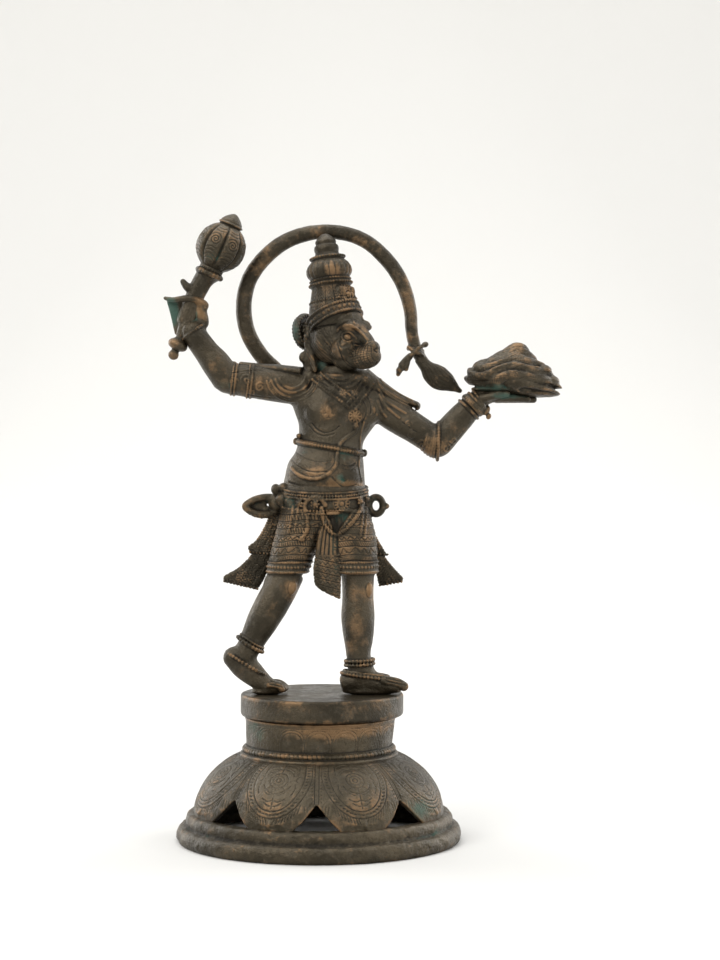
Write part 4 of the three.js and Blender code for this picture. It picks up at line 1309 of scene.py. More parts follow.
    # Short hair on the muzzle: crossed lines.
    local = carried(skin.points, HEAD_BACK)
    x, y, z = local.T
    about = local - MUZZLE
    turn = np.arctan2(about[:, 1], about[:, 2])
    reach = rising(x, 27, 3) * falling(x, 53, 2) * (z < -17)
    crossed = bell(np.sin(0.5 * FULL_TURN * x / 3.4), 0.34)
    crossed = crossed + bell(np.sin(0.5 * FULL_TURN * turn / 0.20), 0.36)
    skin.pressed = np.minimum(skin.pressed, -0.55 * reach * np.minimum(crossed, 1.2))
    # Fur on the cheeks and the back of the head, and carved panels on the crown.
    fur = (x < 14) & within(z, -34, 8) & (np.abs(y) > 8)
    skin.pressed -= 0.2 * fur * np.cos(FULL_TURN * (x + 0.5 * z) / 3.4)
    ring = np.arctan2(y, x - CROWN_X)
    panel = rising(z, 24, 1) * falling(z, 50, 1)
    panel *= np.hypot(x - CROWN_X, y) < 25.7
    curl = bell(np.sin(FULL_TURN * z / 7 + 2.4 * np.cos(16 * ring)), 0.34)
    skin.pressed -= panel * np.maximum(0.6 * bell(np.sin(8 * ring), 0.2), 0.5 * curl)
    skin.press()
    return skin


# The mace.

MACE_ROWS = [
    (0, 0), (1, 3), (3, 4.9), (5.5, 5.4), (8, 4.6), (9.6, 3.6), (10.8, 4.2), (11.8, 7.4), (13.5, 9.4),
    (16, 10.2), (18.5, 9.6), (20.6, 7.4), (22, 5.4), (24, 5.2), (27, 6.2), (31, 7.2), (38, 7.6), (55, 6.4),
    (70, 5.2), (82, 6.4), (86, 7.8), (88, 9.2), (90.6, 11.2), (93.5, 12.0), (96.2, 11.2), (97.6, 10.4),
    (100, 12), (103, 16), (107, 20), (113, 23.8), (119, 25), (126, 24.8), (134, 22.4), (140, 17.8), (143, 14),
    (144.6, 11.0), (145.4, 10.6), (146.2, 12.8), (147.6, 12.4), (148.4, 10.2), (149.4, 11.2), (150.6, 10.2),
    (153, 8.4), (155.5, 5.6), (157.6, 2.8), (158.5, 0),
]
MACE_LOBES = 8
LOBE_TURN = math.radians(8)
HALF_ARC = 0.3


def lobes(t, angle):
    """Grooves between the lobes of the mace's ball."""
    inside = rising(t, 99, 6) * falling(t, 146, 5)
    return 1 - 0.14 * inside * bell(np.sin(MACE_LOBES / 2 * (angle - LOBE_TURN)), 0.26)


def mace():
    """The ball with its collar and knob, and the shaft, bent a little, with its leaf stub."""
    shells = [lathe(MACE_FOOT, MACE_TIP, MACE_ROWS, segments=256, wave=lobes)]
    other, third = across_axis(MACE_AXIS)
    distance, radius = np.array(MACE_ROWS).T

    def place(t, angle):
        r = np.interp(t, distance, radius)
        return MACE_FOOT + MACE_AXIS * t + (other * math.cos(angle) + third * math.sin(angle)) * r

    for t, count, size in ((93.5, 22, 3.0), (98.4, 28, 1.5)):
        shells += [ball(place(t, a), size) for a in turns(count)]
    shaft = [(-137, -6, 372), (-131.5, -6, 386), (-123, -6, 405), (-116, -6, 418), (-111, -6, 429)]
    shells.append(cord(shaft, [7.6, 8.2, 8.6, 8.8, 8.6]))
    shells.append(cord([(-128, -8, 401), (-134, -8.5, 404.5), (-138.2, -8, 409.6)], [5.2, 4.4, 3.0]))
    skin = Skin(shells, voxel=0.62)
    # Spirals on every lobe, with arcs below them.
    for k in range(MACE_LOBES):
        middle = (k + 0.5) * FULL_TURN / MACE_LOBES + LOBE_TURN
        turn = np.linspace(0.6, 2.6 * FULL_TURN, 90)
        spiral = [place(127 + 0.44 * a * math.sin(a), middle + 0.0185 * a * math.cos(a)) for a in turn]
        skin.line(np.array(spiral), 0.62, 0.7)
        for levels, bow, width, depth in (
            ((105.5, 109, 112.5, 116), 2.4, 0.62, 0.6), ((137, 140), -1.2, 0.6, 0.5),
        ):
            for t in levels:
                across = np.linspace(-HALF_ARC, HALF_ARC, 16)
                arc = [place(t + bow * (1 - (a / HALF_ARC) ** 2), middle + a) for a in across]
                skin.line(np.array(arc), width, depth)
    skin.press()
    return skin


# The mountain: wavy layers of rock on a flat stone, over the open hand.

# Rows of height, middle and half width.
PEAK_ROWS = np.array(
    [
        [296.0, 213, 20], [299.0, 207, 31], [302.5, 199, 39.5], [307.5, 191, 45], [313.5, 187.3, 44.8],
        [318, 186, 42], [323.5, 184.4, 37], [328, 185.5, 31], [332.5, 187.8, 25.2], [337, 190.6, 19.4],
        [342, 193, 13.6], [346, 194.4, 8.6], [348.4, 194.8, 4.6],
    ]
)
ROCK_DEPTH = 0.64
ROCK_LAYER = 8.6
ROCK_Y = -4


def mountain():
    """Each layer is a thick pillow that overhangs the one below and keeps its foot's width for a while."""
    height, middles, halves = PEAK_ROWS.T
    levels = np.arange(height[0], height[-1], 0.6)
    around = turns(260)
    wave = 2.6 * np.sin(2 * around + 0.9) + 2.3 * np.sin(3 * around + 2.4) + 1.5 * np.sin(5 * around + 0.4)
    rings = []
    for z in levels:
        phase = (z - 298.5 + wave) / ROCK_LAYER
        layer = np.floor(phase)
        share = phase - layer
        calm = np.clip((338 - z) / 9, 0.22, 1)
        level = z - 0.75 * calm * (share - 0.25) * ROCK_LAYER
        half = np.minimum(np.interp(level, height, halves), 1.16 * np.interp(z, height, halves) + 1)
        pillow = 2.8 * np.sqrt(np.clip(np.sin(math.pi * np.clip(share * 0.94 + 0.03, 0, 1)), 0, 1)) - 2.0
        ripple = 0.9 * np.sin(4 * around + 2.1 * layer) + 0.6 * np.sin(7 * around + layer)
        reach = np.maximum(half + calm * (pillow + ripple), 1.0)
        x = np.interp(z, height, middles) + reach * np.cos(around)
        y = ROCK_Y + ROCK_DEPTH * reach * np.sin(around)
        rings.append(np.stack([x, y, np.full(len(around), z)], 1))
    poles = [(middles[0], ROCK_Y, levels[0] - 0.8), (middles[-1], ROCK_Y, levels[-1] + 1.2)]
    shells = [tube(np.stack(rings), poles)] + lumps([
        [208, -4, 299.4, 30, 18, 4.8, -3], [190, -4, 303, 42, 20, 4.6], [194.6, -4, 343.5, 8.4, 7.4, 6.2],
        [222, -10, 322, 7, 10, 5, -20], [229, -7, 311.5, 7.6, 11, 5, -14], [152, -6, 313, 9, 13, 6.6, 12],
        [164, -8, 326, 9, 11, 4.4, 18],
    ])
    skin = Skin(shells, voxel=0.8, rounds=6)
    p = skin.points
    strata = p[:, 2] + 1.9 * np.sin(p[:, 0] / 9 + 1) + 1.0 * np.sin(p[:, 0] / 4.3 + p[:, 1] / 6)
    skin.pressed -= 0.36 * bell(np.sin(0.5 * FULL_TURN * strata / 3.9), 0.18)
    skin.pressed += 0.25 * waves(p, 12, 61)
    skin.press()
    front = Front(skin)
    for x, z, wide, turn in (
        (196, 333.5, 13, -0.1), (157, 320, 9, 0.5), (200, 320.5, 8, 0), (175, 311, 9, 0.2),
        (214, 316, 6, -0.2),
    ):
        for shift in np.arange(-wide / 2, wide / 2, 1.7):
            u, v = x + shift, z + turn * shift
            front.engrave([([(u - 0.3, v + 2.2), (u + 0.3, v - 2.2)], 0.45, 0.55)], step=0.5)
    skin.press()
    return skin


# The tail.

TAIL = Limb(
    [
        [0, 24, 190, 8, 8], [-4, 38, 232, 8, 8], [-16, 41, 276, 7.6, 7.6], [-38, 38, 314, 7.5, 7.5],
        [-62.5, 32, 338, 8, 7.5], [-76, 28, 362, 8, 7.5], [-79.5, 25, 388, 8, 7.5],
        [-74.5, 22, 412, 7.9, 7.3], [-59.5, 18, 434, 7.9, 7.2], [-37, 14, 451.5, 7.8, 7],
        [-14, 13, 459.5, 7.4, 7], [12, 13, 461, 7.2, 7], [39, 13, 454, 7.2, 7], [62.5, 13, 435.5, 7.4, 7],
        [79.5, 13, 411, 7.2, 6.9], [88, 13, 384, 6.6, 6.6], [90.5, 12, 357, 6.2, 6.2], [94.5, 11, 342, 6, 6],
        [103, 8, 328, 5.6, 5.8],
    ],
    sides=40, ends=(0, 0), square=2.3,
)
TUFT = Limb(
    [
        [97, 9, 334, 5.4, 5.6], [104, 8, 326, 7, 6.4], [109, 8, 320.5, 10.4, 6.8], [116, 8, 315, 12, 7],
        [124, 8, 310.5, 10.2, 6], [131, 8, 306, 6.2, 4.6], [136, 8, 302.5, 3.2, 3.2],
    ],
    sides=48, ends=(0, 1),
)


def tail():
    """The tail with the knot and ribbon ends that tie its tuft."""
    shells = [
        TAIL.shell(),
        TUFT.shell(),
        cord([(86, 3, 334), (91, 1, 338.5), (99, 2, 345.5), (104.5, 9, 347)], [2.0, 2.2, 2.2, 1.8]),
        cord([(86, 4, 345), (92, 1, 341), (99, 2, 337.5), (102, 9, 336)], [1.9, 2.1, 2.1, 1.8]),
        hoop([93.5, 11, 342.5], 7.6, 8.2, 1.8, tilt=-14, tall=2.6),
        lump([103, 6, 347.5], [3.8, 4, 3.0], 25),
        lump([137.5, 8, 301.5], [3.0, 3, 2.6]),
        cord([(88, 4, 336), (83, 3, 331), (78.5, 2, 327.5)], [3.4, 3.8, 2.6]),
        cord([(86, 4, 334), (84.5, 3, 327), (84, 2, 323)], [3.0, 3.2, 2.4]),
    ]
    shells += lumps(
        [[77, 2, 321.5, 3.4, 4.4, 3.6], [76, 2, 318, 2.4, 3.2, 2.4], [81, 2.5, 326, 5.4, 4.4, 4.6, 35]]
    )
    skin = Skin(shells, voxel=0.75, rounds=3)
    share, angle, out = TUFT.coordinates(skin.points)
    near = within(share, 0.1, 0.98) & (out < 1.25) & (skin.points[:, 0] > 100)
    fade = rising(share, 0.1, 0.12) * falling(share, 0.98, 0.1)
    skin.pressed -= 0.42 * near * fade * bell(np.sin(9 * (angle + 0.25 * np.sin(7 * share))), 0.42)
    share, angle, out = TAIL.coordinates(skin.points)
    dents = (share > 0.35) & (out < 1.3)
    rings = np.cos(FULL_TURN * share * 46 + 1.5 * np.cos(angle)) * (np.abs(np.sin(angle)) > 0.2)
    skin.pressed -= 0.14 * dents * rings
    skin.pressed += 0.16 * waves(skin.points, 16, 5)
    skin.press()
    return skin


# The plate under the feet, and the pedestal in millimetres.


def plate():
    """The plain round plate, a little wavy, with the faint line round its wall."""
    rows = [
        (0, 0), (0, PLATE_RADIUS - PLATE_BEVEL), (0.35, PLATE_RADIUS - 0.5), (PLATE_BEVEL, PLATE_RADIUS),
        (PLATE_HEIGHT - PLATE_ROUND - 0.5, PLATE_RADIUS), (PLATE_HEIGHT - 0.25, PLATE_RADIUS - 0.22),
        (PLATE_HEIGHT, PLATE_RADIUS - PLATE_ROUND), (PLATE_HEIGHT, 0),
    ]
    shell = lathe([0, 0, -PLATE_HEIGHT], [0, 0, 0], rows, segments=300, step=0.6)
    skin = Skin([shell], voxel=0.55)
    p = skin.points
    turn, radius = round_axis(p)
    wall = rising(radius, 0.96 * PLATE_RADIUS, 0.5)
    skin.pressed += wall * (0.05 * waves(p, 14, 3) - 0.05)
    skin.pressed -= 0.12 * wall * bell(p[:, 2] + 9.4 + 0.4 * np.sin(3 * turn), 0.22)
    skin.pressed += (1 - wall) * 0.04 * waves(p, 9, 4)
    skin.press()
    return skin


def warped(points):
    """The pedestal's petals come forward a little, and its neck leans like the plate."""
    turn, radius = round_axis(points)
    turn = turn - PETAL_CROWDING * np.sin(2 * turn)
    rise = rising(points[:, 2], DOME_TOP, NECK_HEIGHT)
    lean = NECK_OFFSET * rise * rise * (3 - 2 * rise)
    return np.stack([radius * np.sin(turn) + lean, -radius * np.cos(turn), points[:, 2]], 1)


def turned_section(section, segments):
    """A closed section of [radius, height] carried round the axis."""
    dense = []
    for (r0, z0), (r1, z1) in zip(section, section[1:] + section[:1]):
        count = max(1, int(math.hypot(r1 - r0, z1 - z0) / 0.7))
        dense += [(r0 + (r1 - r0) * k / count, z0 + (z1 - z0) * k / count) for k in range(count)]
    r, z = np.array(dense).T
    return loop_tube(np.stack([np.stack([r * math.sin(t), -r * math.cos(t), z], 1) for t in turns(segments)]))


def dome_point(share, inset=0.0):
    """Radius and height at a share of the dome's section, or that far inside it."""
    angle = share * math.pi / 2
    spread = math.cos(angle) ** DOME_LEANNESS
    radius = DOME_TOP_RADIUS + (DOME_FOOT_RADIUS - DOME_TOP_RADIUS) * spread - inset
    return radius, STEP_TOP + (DOME_HEIGHT - inset) * math.sin(angle)


def outward(shell):
    """The shell with its faces turned out."""
    points, faces = shell
    a, b, c = (points[faces[:, k]] for k in range(3))
    volume = (a * np.cross(b, c)).sum()
    return (points, faces) if volume > 0 else (points, faces[:, ::-1])


def cut(shell, tools):
    """The shell less the tools, which are shells too."""
    tool = placed("tool", mesh_of("tool", *merged([outward(made) for made in tools])))
    result = through(*outward(shell), "BOOLEAN", operation="DIFFERENCE", solver="MANIFOLD", object=tool)
    remove(tool)
    return result


def window(turn):
    """A pointed arch as a prism through the dome's wall, at an angle round the axis."""
    half = WINDOW_WIDTH / 2
    share = np.linspace(0, 1, 9)

    def bend(a, b, c):
        return (1 - share) ** 2 * a + 2 * share * (1 - share) * b + share**2 * c

    x = bend(half, 0.54 * half, 0.04 * half)
    z = bend(0, 0.42 * WINDOW_HEIGHT, WINDOW_HEIGHT)
    outline = np.array([(-half, -2), (half, -2)] + list(zip(x, z)) + list(zip(-x[::-1], z[::-1])))
    rings = []
    for y in WINDOW_REACH:
        rings.append(np.column_stack([outline[:, 0], np.full(len(outline), -y), outline[:, 1] + STEP_TOP]))
    middle = STEP_TOP + 0.3 * WINDOW_HEIGHT
    points, faces = tube(np.stack(rings), [(0, -y, middle) for y in WINDOW_REACH])
    c, s = math.cos(turn), math.sin(turn)
    x, y, z = points.T
    return np.stack([x * c - y * s, x * s + y * c, z], 1), faces


INNER_LEAF = [(0, 8.5), (5, 9.6), (9.2, 13), (11.8, 18), (12.7, 23), (12.4, 28), (11, 33), (9.5, 38)]
OUTER_LEAF = [
    (0, 5.2), (6.5, 6.5), (11.5, 10), (14.9, 15.5), (16.4, 21), (16.2, 27), (14.6, 32.5), (12.8, 38),
]
FLOWER_UP = 25


def strokes(across, up, rows):
    """How deep drawn lines are cut at each point of a flat pattern: rows are places, width and depth."""
    cutting = np.zeros(len(across))
    for places, width, depth in rows:
        path = smooth_path([(u, 0, v) for u, v in places], 0.5)[:, [0, 2]]
        low, high = path.min(0) - 2 * width, path.max(0) + 2 * width
        near = np.flatnonzero(within(across, low[0], high[0]) & within(up, low[1], high[1]))
        gap = np.sqrt(((across[near, None] - path[:, 0]) ** 2 + (up[near, None] - path[:, 1]) ** 2).min(1))
        cutting[near] = np.maximum(cutting[near], depth * bell(gap, 0.6 * width))
    return cutting


def centred(angle, pitch):
    """Angles counted from the middle of the nearest of the parts that lie a pitch apart."""
    return angle - np.round(angle / pitch) * pitch


def petal_pattern():
    """Lines of one petal, as places across and up: those of one half, and those of the whole."""
    halves = [(leaf, 0.55, 0.36) for leaf in (INNER_LEAF, OUTER_LEAF)]
    between = [((a + c) / 2, (b + d) / 2) for (a, b), (c, d) in zip(INNER_LEAF, OUTER_LEAF)]
    for u, _, v in smooth_path([(u, 0, v) for u, v in between], 1.9):
        halves.append(([(u - 0.5, v - 0.1), (u + 0.5, v + 0.1)], 0.7, 0.3))
    # Strokes at the foot, then the leaves and stem round the flower.
    for u in np.arange(1.6, 14, 1.5):
        foot = 2.6 + 0.03 * u * u
        halves.append(([(u, foot), (u + 0.9, foot + 2.4 + 0.1 * u)], 0.5, 0.3))
    for u in np.arange(17.5, 22, 1.6):
        halves.append(([(u, 7.5), (u - 1.0, 11.0)], 0.5, 0.26))
    for places in (
        [(0, 17.5), (2.4, 16.6), (4.6, 17.6), (6.4, 20.4)], [(0, 14), (2.8, 13.2), (5.6, 14.6)],
        [(0, 11), (2.4, 11.3), (4.4, 12.6)], [(1.2, 19.4), (3.4, 20.6), (4.4, 19.6)],
        [(2.4, 33), (4.8, 32.4), (6.6, 30)], [(1.6, 36), (4.4, 35.4), (6.8, 33.6)],
        [(8.6, 17), (9.6, 20), (9.2, 23)], [(8.8, 29), (8.2, 32), (7.4, 35)],
        [(9.9, 24.2), (8.7, 26), (9.9, 27.8)],
    ):
        halves.append((places, 0.5, 0.28))
    # The flower's rings, the ring round it and its rays.
    wholes = [([(0, 10), (0, 20)], 0.55, 0.3), ([(0, 30), (0, 38)], 0.55, 0.3)]
    for start, end, radius, depth in (
        (0, 360, 1.2, 0.4), (0, 360, 2.8, 0.3), (0, 360, 4.6, 0.34), (25, 155, 7.6, 0.32),
        (205, 335, 7.6, 0.32),
    ):
        wholes.append((circle(0, FLOWER_UP, radius, start, end), 0.55, depth))
    for a in np.radians(np.arange(0, 360, 36)):
        ray = [(r * math.cos(a), FLOWER_UP + r * math.sin(a)) for r in (2.9, 4.5)]
        wholes.append((ray, 0.5, 0.26))
    return halves, wholes


def lotus():
    """The dome with its petals, windows and engraving. Its flat pattern is measured across and up a petal."""
    shares = np.linspace(0, 1, 25)
    outer = [dome_point(a) for a in shares]
    inner = [dome_point(a, WALL) for a in shares[::-1]]
    section = [(61, STEP_TOP - 1)] + outer + [(34, DOME_TOP + 0.3), (34, DOME_TOP - 3)] + inner
    points, faces = turned_section(section + [(57.8, STEP_TOP - 1)], 320)
    turn, radius = round_axis(points)
    height = rising(points[:, 2], STEP_TOP, DOME_HEIGHT)
    valley = (1 - np.abs(np.sin(PETALS / 2 * turn))) * (1 - height**2)
    points[:, :2] *= (1 - PETAL_GROOVE * valley / radius)[:, None]
    petal = FULL_TURN / PETALS
    skin = Skin([cut((points, faces), [window(i * petal) for i in range(PETALS)])], voxel=0.42, rounds=1)
    p = skin.points
    turn, radius = round_axis(p)
    from_middle = centred(turn - petal / 2, petal)
    fine = np.array([dome_point(a) for a in np.linspace(0, 1, 200)])
    length = np.concatenate([[0], np.cumsum(np.hypot(*np.diff(fine, axis=0).T))])
    up = np.interp(p[:, 2], fine[:, 1], length)
    dome_radius = np.interp(p[:, 2], fine[:, 1], fine[:, 0])
    across = from_middle * dome_radius
    side = np.abs(across)
    face = (radius > dome_radius - 0.6 * WALL) & (p[:, 2] > STEP_TOP - 0.2)
    halves, wholes = petal_pattern()
    cutting = np.maximum(strokes(side, up, halves), strokes(across, up, wholes))
    # Double line along the valleys, with dots between, and a rim at the dome's top.
    gap = (petal / 2 - np.abs(from_middle)) * radius
    tall = rising(up, 11.5, 1.2)
    dots = bell(gap - 2.3, 0.45) * np.maximum(0, np.cos(FULL_TURN * up / 1.9)) ** 2
    for lines in (tall * 0.4 * bell(gap - 1.0, 0.34), tall * 0.3 * bell(gap, 0.3), tall * 0.3 * dots):
        cutting = np.maximum(cutting, lines)
    cutting = np.maximum(cutting, 0.3 * bell(up - 36.5, 0.34) * (side > 9.6))
    skin.pressed -= cutting * face
    # The petal's raised tip with its two wings, and a swelling along its middle.
    tip = np.exp(-((across / 1.5) ** 2) - (((up - 2.6) / 1.6) ** 2))
    wings = np.exp(-(((side - 4.2) / 2.6) ** 2) - (((up - 2.3 - 0.12 * side) / 0.9) ** 2))
    swelling = np.exp(-((side / 9) ** 2) - (((up - 16) / 12) ** 2))
    skin.pressed += face * (0.9 * tip + 0.45 * wings + 0.45 * swelling)
    skin.pressed += face * 0.10 * waves(p, 12, 11) * (cutting < 0.05)
    skin.press()
    skin.points = warped(skin.points)
    return skin


def base_ring():
    """The stepped ring, open below, with the lumps and pits of its casting."""
    section = [
        (57.8, STEP_TOP), (61.2, STEP_TOP), (62.6, STEP_TOP - 0.5), (63.5, STEP_TOP - 1.8), (63.9, 10.4),
        (63.7, RING_HEIGHT + 0.4), (64.4, RING_HEIGHT - 0.1), (66.4, RING_HEIGHT - 0.5),
        (67.6, RING_HEIGHT - 1.7), (68.2, 4.4), (68.3, 2.2), (67.7, 0.7), (66.9, 0), (63.9, 0), (63.9, 4.8),
        (60.8, 10.8), (57.8, STEP_TOP - 1),
    ]
    skin = Skin([turned_section(section, 360)], voxel=0.50)
    p = skin.points
    outside = (round_axis(p)[1] > 60) & (p[:, 2] > 0.25)
    lumpy = 0.38 * waves(p, 18, 21) + 0.16 * waves(p, 6, 22) + 0.09 * waves(p, 2.4, 23)
    pits = np.clip(waves(p, 4.2, 24) - 0.62, 0, 1)
    skin.pressed += outside * (lumpy - 0.5 * pits - 0.12)
    skin.press()
    return skin


def neck():
    """The waist with its fillet, roped beading, upright petals and rim."""
    beading = DOME_TOP + FILLET_HEIGHT
    roof = NECK_TOP - NECK_ROOF
    bore = NECK_FOOT_RADIUS - WALL
    rows = [
        (roof, 0), (roof, bore), (DOME_TOP - 2.5, bore + 2.8), (DOME_TOP - 2.5, NECK_FOOT_RADIUS + 1),
        (DOME_TOP - 0.4, FILLET_RADIUS), (DOME_TOP + 0.9, FILLET_RADIUS),
        (beading - 0.1, FILLET_RADIUS - 0.7), (beading + 0.1, NECK_FOOT_RADIUS + 0.6),
        (beading + 0.5, BEADING_RADIUS - 0.5), (beading + 1.0, BEADING_RADIUS - 0.1),
        (beading + 1.7, BEADING_RADIUS), (beading + 2.3, BEADING_RADIUS - 0.3),
        (beading + 2.8, BEADING_RADIUS - 0.9), (beading + BEADING_HEIGHT, NECK_FOOT_RADIUS + 0.4),
        (beading + BEADING_HEIGHT + 0.3, NECK_FOOT_RADIUS), (NECK_TOP - 1.4, NECK_TOP_RADIUS - 0.35),
        (NECK_TOP - 1.0, NECK_TOP_RADIUS - 0.05), (NECK_TOP - 0.5, NECK_TOP_RADIUS),
        (NECK_TOP, NECK_TOP_RADIUS - 0.5), (NECK_TOP, 0),
    ]
    skin = Skin([lathe([0, 0, 0], [0, 0, 1], rows, segments=320, step=0.7)], voxel=0.36, rounds=1)
    p = skin.points
    turn, radius = round_axis(p)
    height = p[:, 2] - beading - BEADING_HEIGHT
    face = (radius > NECK_FOOT_RADIUS - 1.2) & (height > 0.3) & (p[:, 2] < NECK_TOP - 0.2)
    arch = FULL_TURN / NECK_ARCHES
    across = np.abs(centred(turn, arch) * NECK_FOOT_RADIUS)
    halfway = np.abs(centred(turn - arch / 2, arch) * NECK_FOOT_RADIUS)
    wide = arch * NECK_FOOT_RADIUS / 2
    petals = []
    for half, top, depth in ((wide - 0.2, 10.9, 0.26), (wide - 1.5, 9.6, 0.2)):
        places = [
            (half, 0.9), (half, 0.55 * top), (half * 0.86, 0.78 * top), (half * 0.48, 0.95 * top), (0, top),
        ]
        petals.append((places, 0.5, depth))
    cutting = strokes(across, height, petals)
    tips = [([(0, 8.2), (1.8, 10.8)], 0.5, 0.2), ([(0, 6.2), (0, 9.6)], 0.45, 0.16)]
    cutting = np.maximum(cutting, strokes(halfway, height, tips))
    for level, depth in ((11.6, 0.16), (0.5, 0.2)):
        cutting = np.maximum(cutting, depth * bell(height - level, 0.26))
    roll = within(p[:, 2], beading + 0.2, beading + BEADING_HEIGHT - 0.1) & (radius > NECK_FOOT_RADIUS)
    notch = bell(np.sin((ROPE_TURNS * turn + 0.5 * (p[:, 2] - beading)) / 2), 0.3)
    skin.pressed -= (0.26 + 0.10 * np.sin(turn) ** 2) * roll * notch
    skin.pressed -= cutting * face * (0.75 + 0.5 * waves(p, 11, 42))
    skin.pressed += face * 0.07 * waves(p, 9, 41)
    skin.press()
    skin.points = warped(skin.points)
    return skin


# Bronze: dark patina, copper where it is worn, green where it lies hollow, and near-black in the hollows,
# partly soot and partly painted shade.


class Graph:
    """Makes the nodes of a material or world, and links or sets their inputs."""

    def __init__(self, tree):
        self.tree = tree
        tree.nodes.clear()

    def add(self, kind, inputs=None, **settings):
        node = self.tree.nodes.new(kind)
        for key, value in settings.items():
            setattr(node, key, value)
        for key, value in (inputs or {}).items():
            if isinstance(value, bpy.types.NodeSocket):
                self.tree.links.new(value, node.inputs[key])
            else:
                node.inputs[key].default_value = value
        return node

    def math(self, operation, a, b, clamp=False):
        return self.add("ShaderNodeMath", {0: a, 1: b}, operation=operation, use_clamp=clamp).outputs[0]

    def total(self, *terms):
        """A sum of terms, each a value and its weight."""
        first, *others = [self.math("MULTIPLY", value, weight) for value, weight in terms]
        for other in others:
            first = self.math("ADD", first, other)
        return first

    def ramp(self, value, start, end, low=0.0, high=1.0):
        inputs = {"Value": value, "From Min": start, "From Max": end, "To Min": low, "To Max": high}
        return self.add("ShaderNodeMapRange", inputs, interpolation_type="SMOOTHSTEP").outputs["Result"]

    def mix(self, share, a, b):
        """Two colours mixed; their sockets only differ by number from those of other kinds of value."""
        return self.add("ShaderNodeMix", {"Factor": share, 6: a, 7: b}, data_type="RGBA").outputs[2]

    def noise(self, place, scale, detail=3.0, roughness=0.55):
        inputs = {"Vector": place, "Scale": scale, "Detail": detail, "Roughness": roughness}
        return self.add("ShaderNodeTexNoise", inputs).outputs["Fac"]

    def field(self, name):
        return self.add("ShaderNodeAttribute", attribute_name=name, attribute_type="GEOMETRY").outputs["Fac"]

    def finish(self, **inputs):
        """The shader and the material's output. Names of inputs are written with an underscore."""
        named = {key.replace("_", " "): value for key, value in inputs.items()}
        shader = self.add("ShaderNodeBsdfPrincipled", named)
        self.add("ShaderNodeOutputMaterial", {"Surface": shader.outputs["BSDF"]})


FLOOR_WHITE = (0.53, 0.527, 0.515, 1)
# The backdrop's white is painted lighter than the floor's, to make up for the less light that reaches it.
BACKDROP_WHITE = (0.86, 0.855, 0.835, 1)
DARK = (0.035, 0.0270, 0.0145, 1)
MIDDLE = (0.076, 0.0595, 0.036, 1)
GREY = (0.106, 0.096, 0.074, 1)
COPPER = (0.190, 0.112, 0.053, 1)
GREEN = (0.030, 0.085, 0.064, 1)
# Near-black of the hollows: partly soot, partly painted shade.
SOOT_AND_SHADE = (0.010, 0.0080, 0.0055, 1)


def material_of(name):
    """A new material and its graph."""
    material = bpy.data.materials.new(name)
    material.use_nodes = True
    return material, Graph(material.node_tree)


def bronze(name, tone):
    """A dark patina; tone scales its brightness.

    Fine and broad tell how far a point stands out, raised how high it lies over the bare form,
    and worn and green where the photograph shows the metal rubbed or green.
    """
    material, g = material_of(name)
    place = g.add("ShaderNodeTexCoord").outputs["Object"]
    broad_noise = g.noise(place, 42, 4, 0.6)
    patch_noise = g.noise(place, 150, 5, 0.66)
    speck_noise = g.noise(place, 800, 3, 0.6)
    grain_noise = g.noise(place, 2600, 2, 0.5)
    fine, broad, raised, worn, green = (g.field(key) for key in ("fine", "broad", "raised", "worn", "green"))
    dark, middle_tone, grey = ([tone * v for v in shade[:3]] + [1] for shade in (DARK, MIDDLE, GREY))
    colour = g.mix(g.ramp(broad_noise, 0.38, 0.62), dark, middle_tone)
    colour = g.mix(g.math("MULTIPLY", g.ramp(patch_noise, 0.48, 0.68), 0.42), colour, grey)
    colour = g.mix(g.math("MULTIPLY", g.ramp(speck_noise, 0.52, 0.68), 0.60), colour, dark)
    patches = g.ramp(g.math("ADD", broad_noise, patch_noise), 0.88, 1.12)
    hollow = g.ramp(g.total((fine, 0.75), (broad, 0.75)), -0.10, -0.95)
    standing = g.total((fine, 0.50), (broad, 0.26), (raised, 0.25))
    standing = g.math("MULTIPLY", standing, g.math("ADD", g.math("MULTIPLY", patches, 0.85), 0.25))
    standing = g.total((standing, 1.0), (worn, 1.0), (patch_noise, 1.9), (speck_noise, 0.6))
    rubbed = g.ramp(standing, 1.44, 2.30)
    rubbed = g.math("MULTIPLY", rubbed, g.math("SUBTRACT", 1.0, hollow), clamp=True)
    colour = g.mix(g.math("MULTIPLY", rubbed, 0.88), colour, COPPER)
    # Hollows go near-black: partly soot and patina lodged in them, partly painted shade in the creases.
    colour = g.mix(g.math("MULTIPLY", hollow, 0.74), colour, SOOT_AND_SHADE)
    verdigris = g.total((green, 0.95), (hollow, 0.22), (patch_noise, 1.3), (speck_noise, 0.4))
    verdigris = g.ramp(verdigris, 1.20, 1.80)
    colour = g.mix(g.math("MULTIPLY", verdigris, 0.80), colour, GREEN)
    matt = g.total((g.ramp(patch_noise, 0.35, 0.65, 0.32, 0.50), 1.0), (hollow, 0.30), (verdigris, 0.30))
    matt = g.math("SUBTRACT", matt, g.math("MULTIPLY", rubbed, 0.04), clamp=True)
    metal = g.math("SUBTRACT", 0.66, g.math("MULTIPLY", verdigris, 0.50), clamp=True)
    relief = g.total((speck_noise, 0.8), (patch_noise, 1.3), (grain_noise, 0.3))
    bump = g.add("ShaderNodeBump", {"Height": relief, "Strength": 0.8, "Distance": 0.0006}).outputs["Normal"]
    g.finish(Base_Color=colour, Metallic=metal, Roughness=matt, Normal=bump)
    return material


FIGURE_BRONZE = bronze("figure_bronze", 0.73)
PEDESTAL_BRONZE = bronze("pedestal_bronze", 0.88)

# Finishing a piece: what stands out and what lies hollow is kept on the surface for its colours,
# and the surface is thinned to its share of triangles.

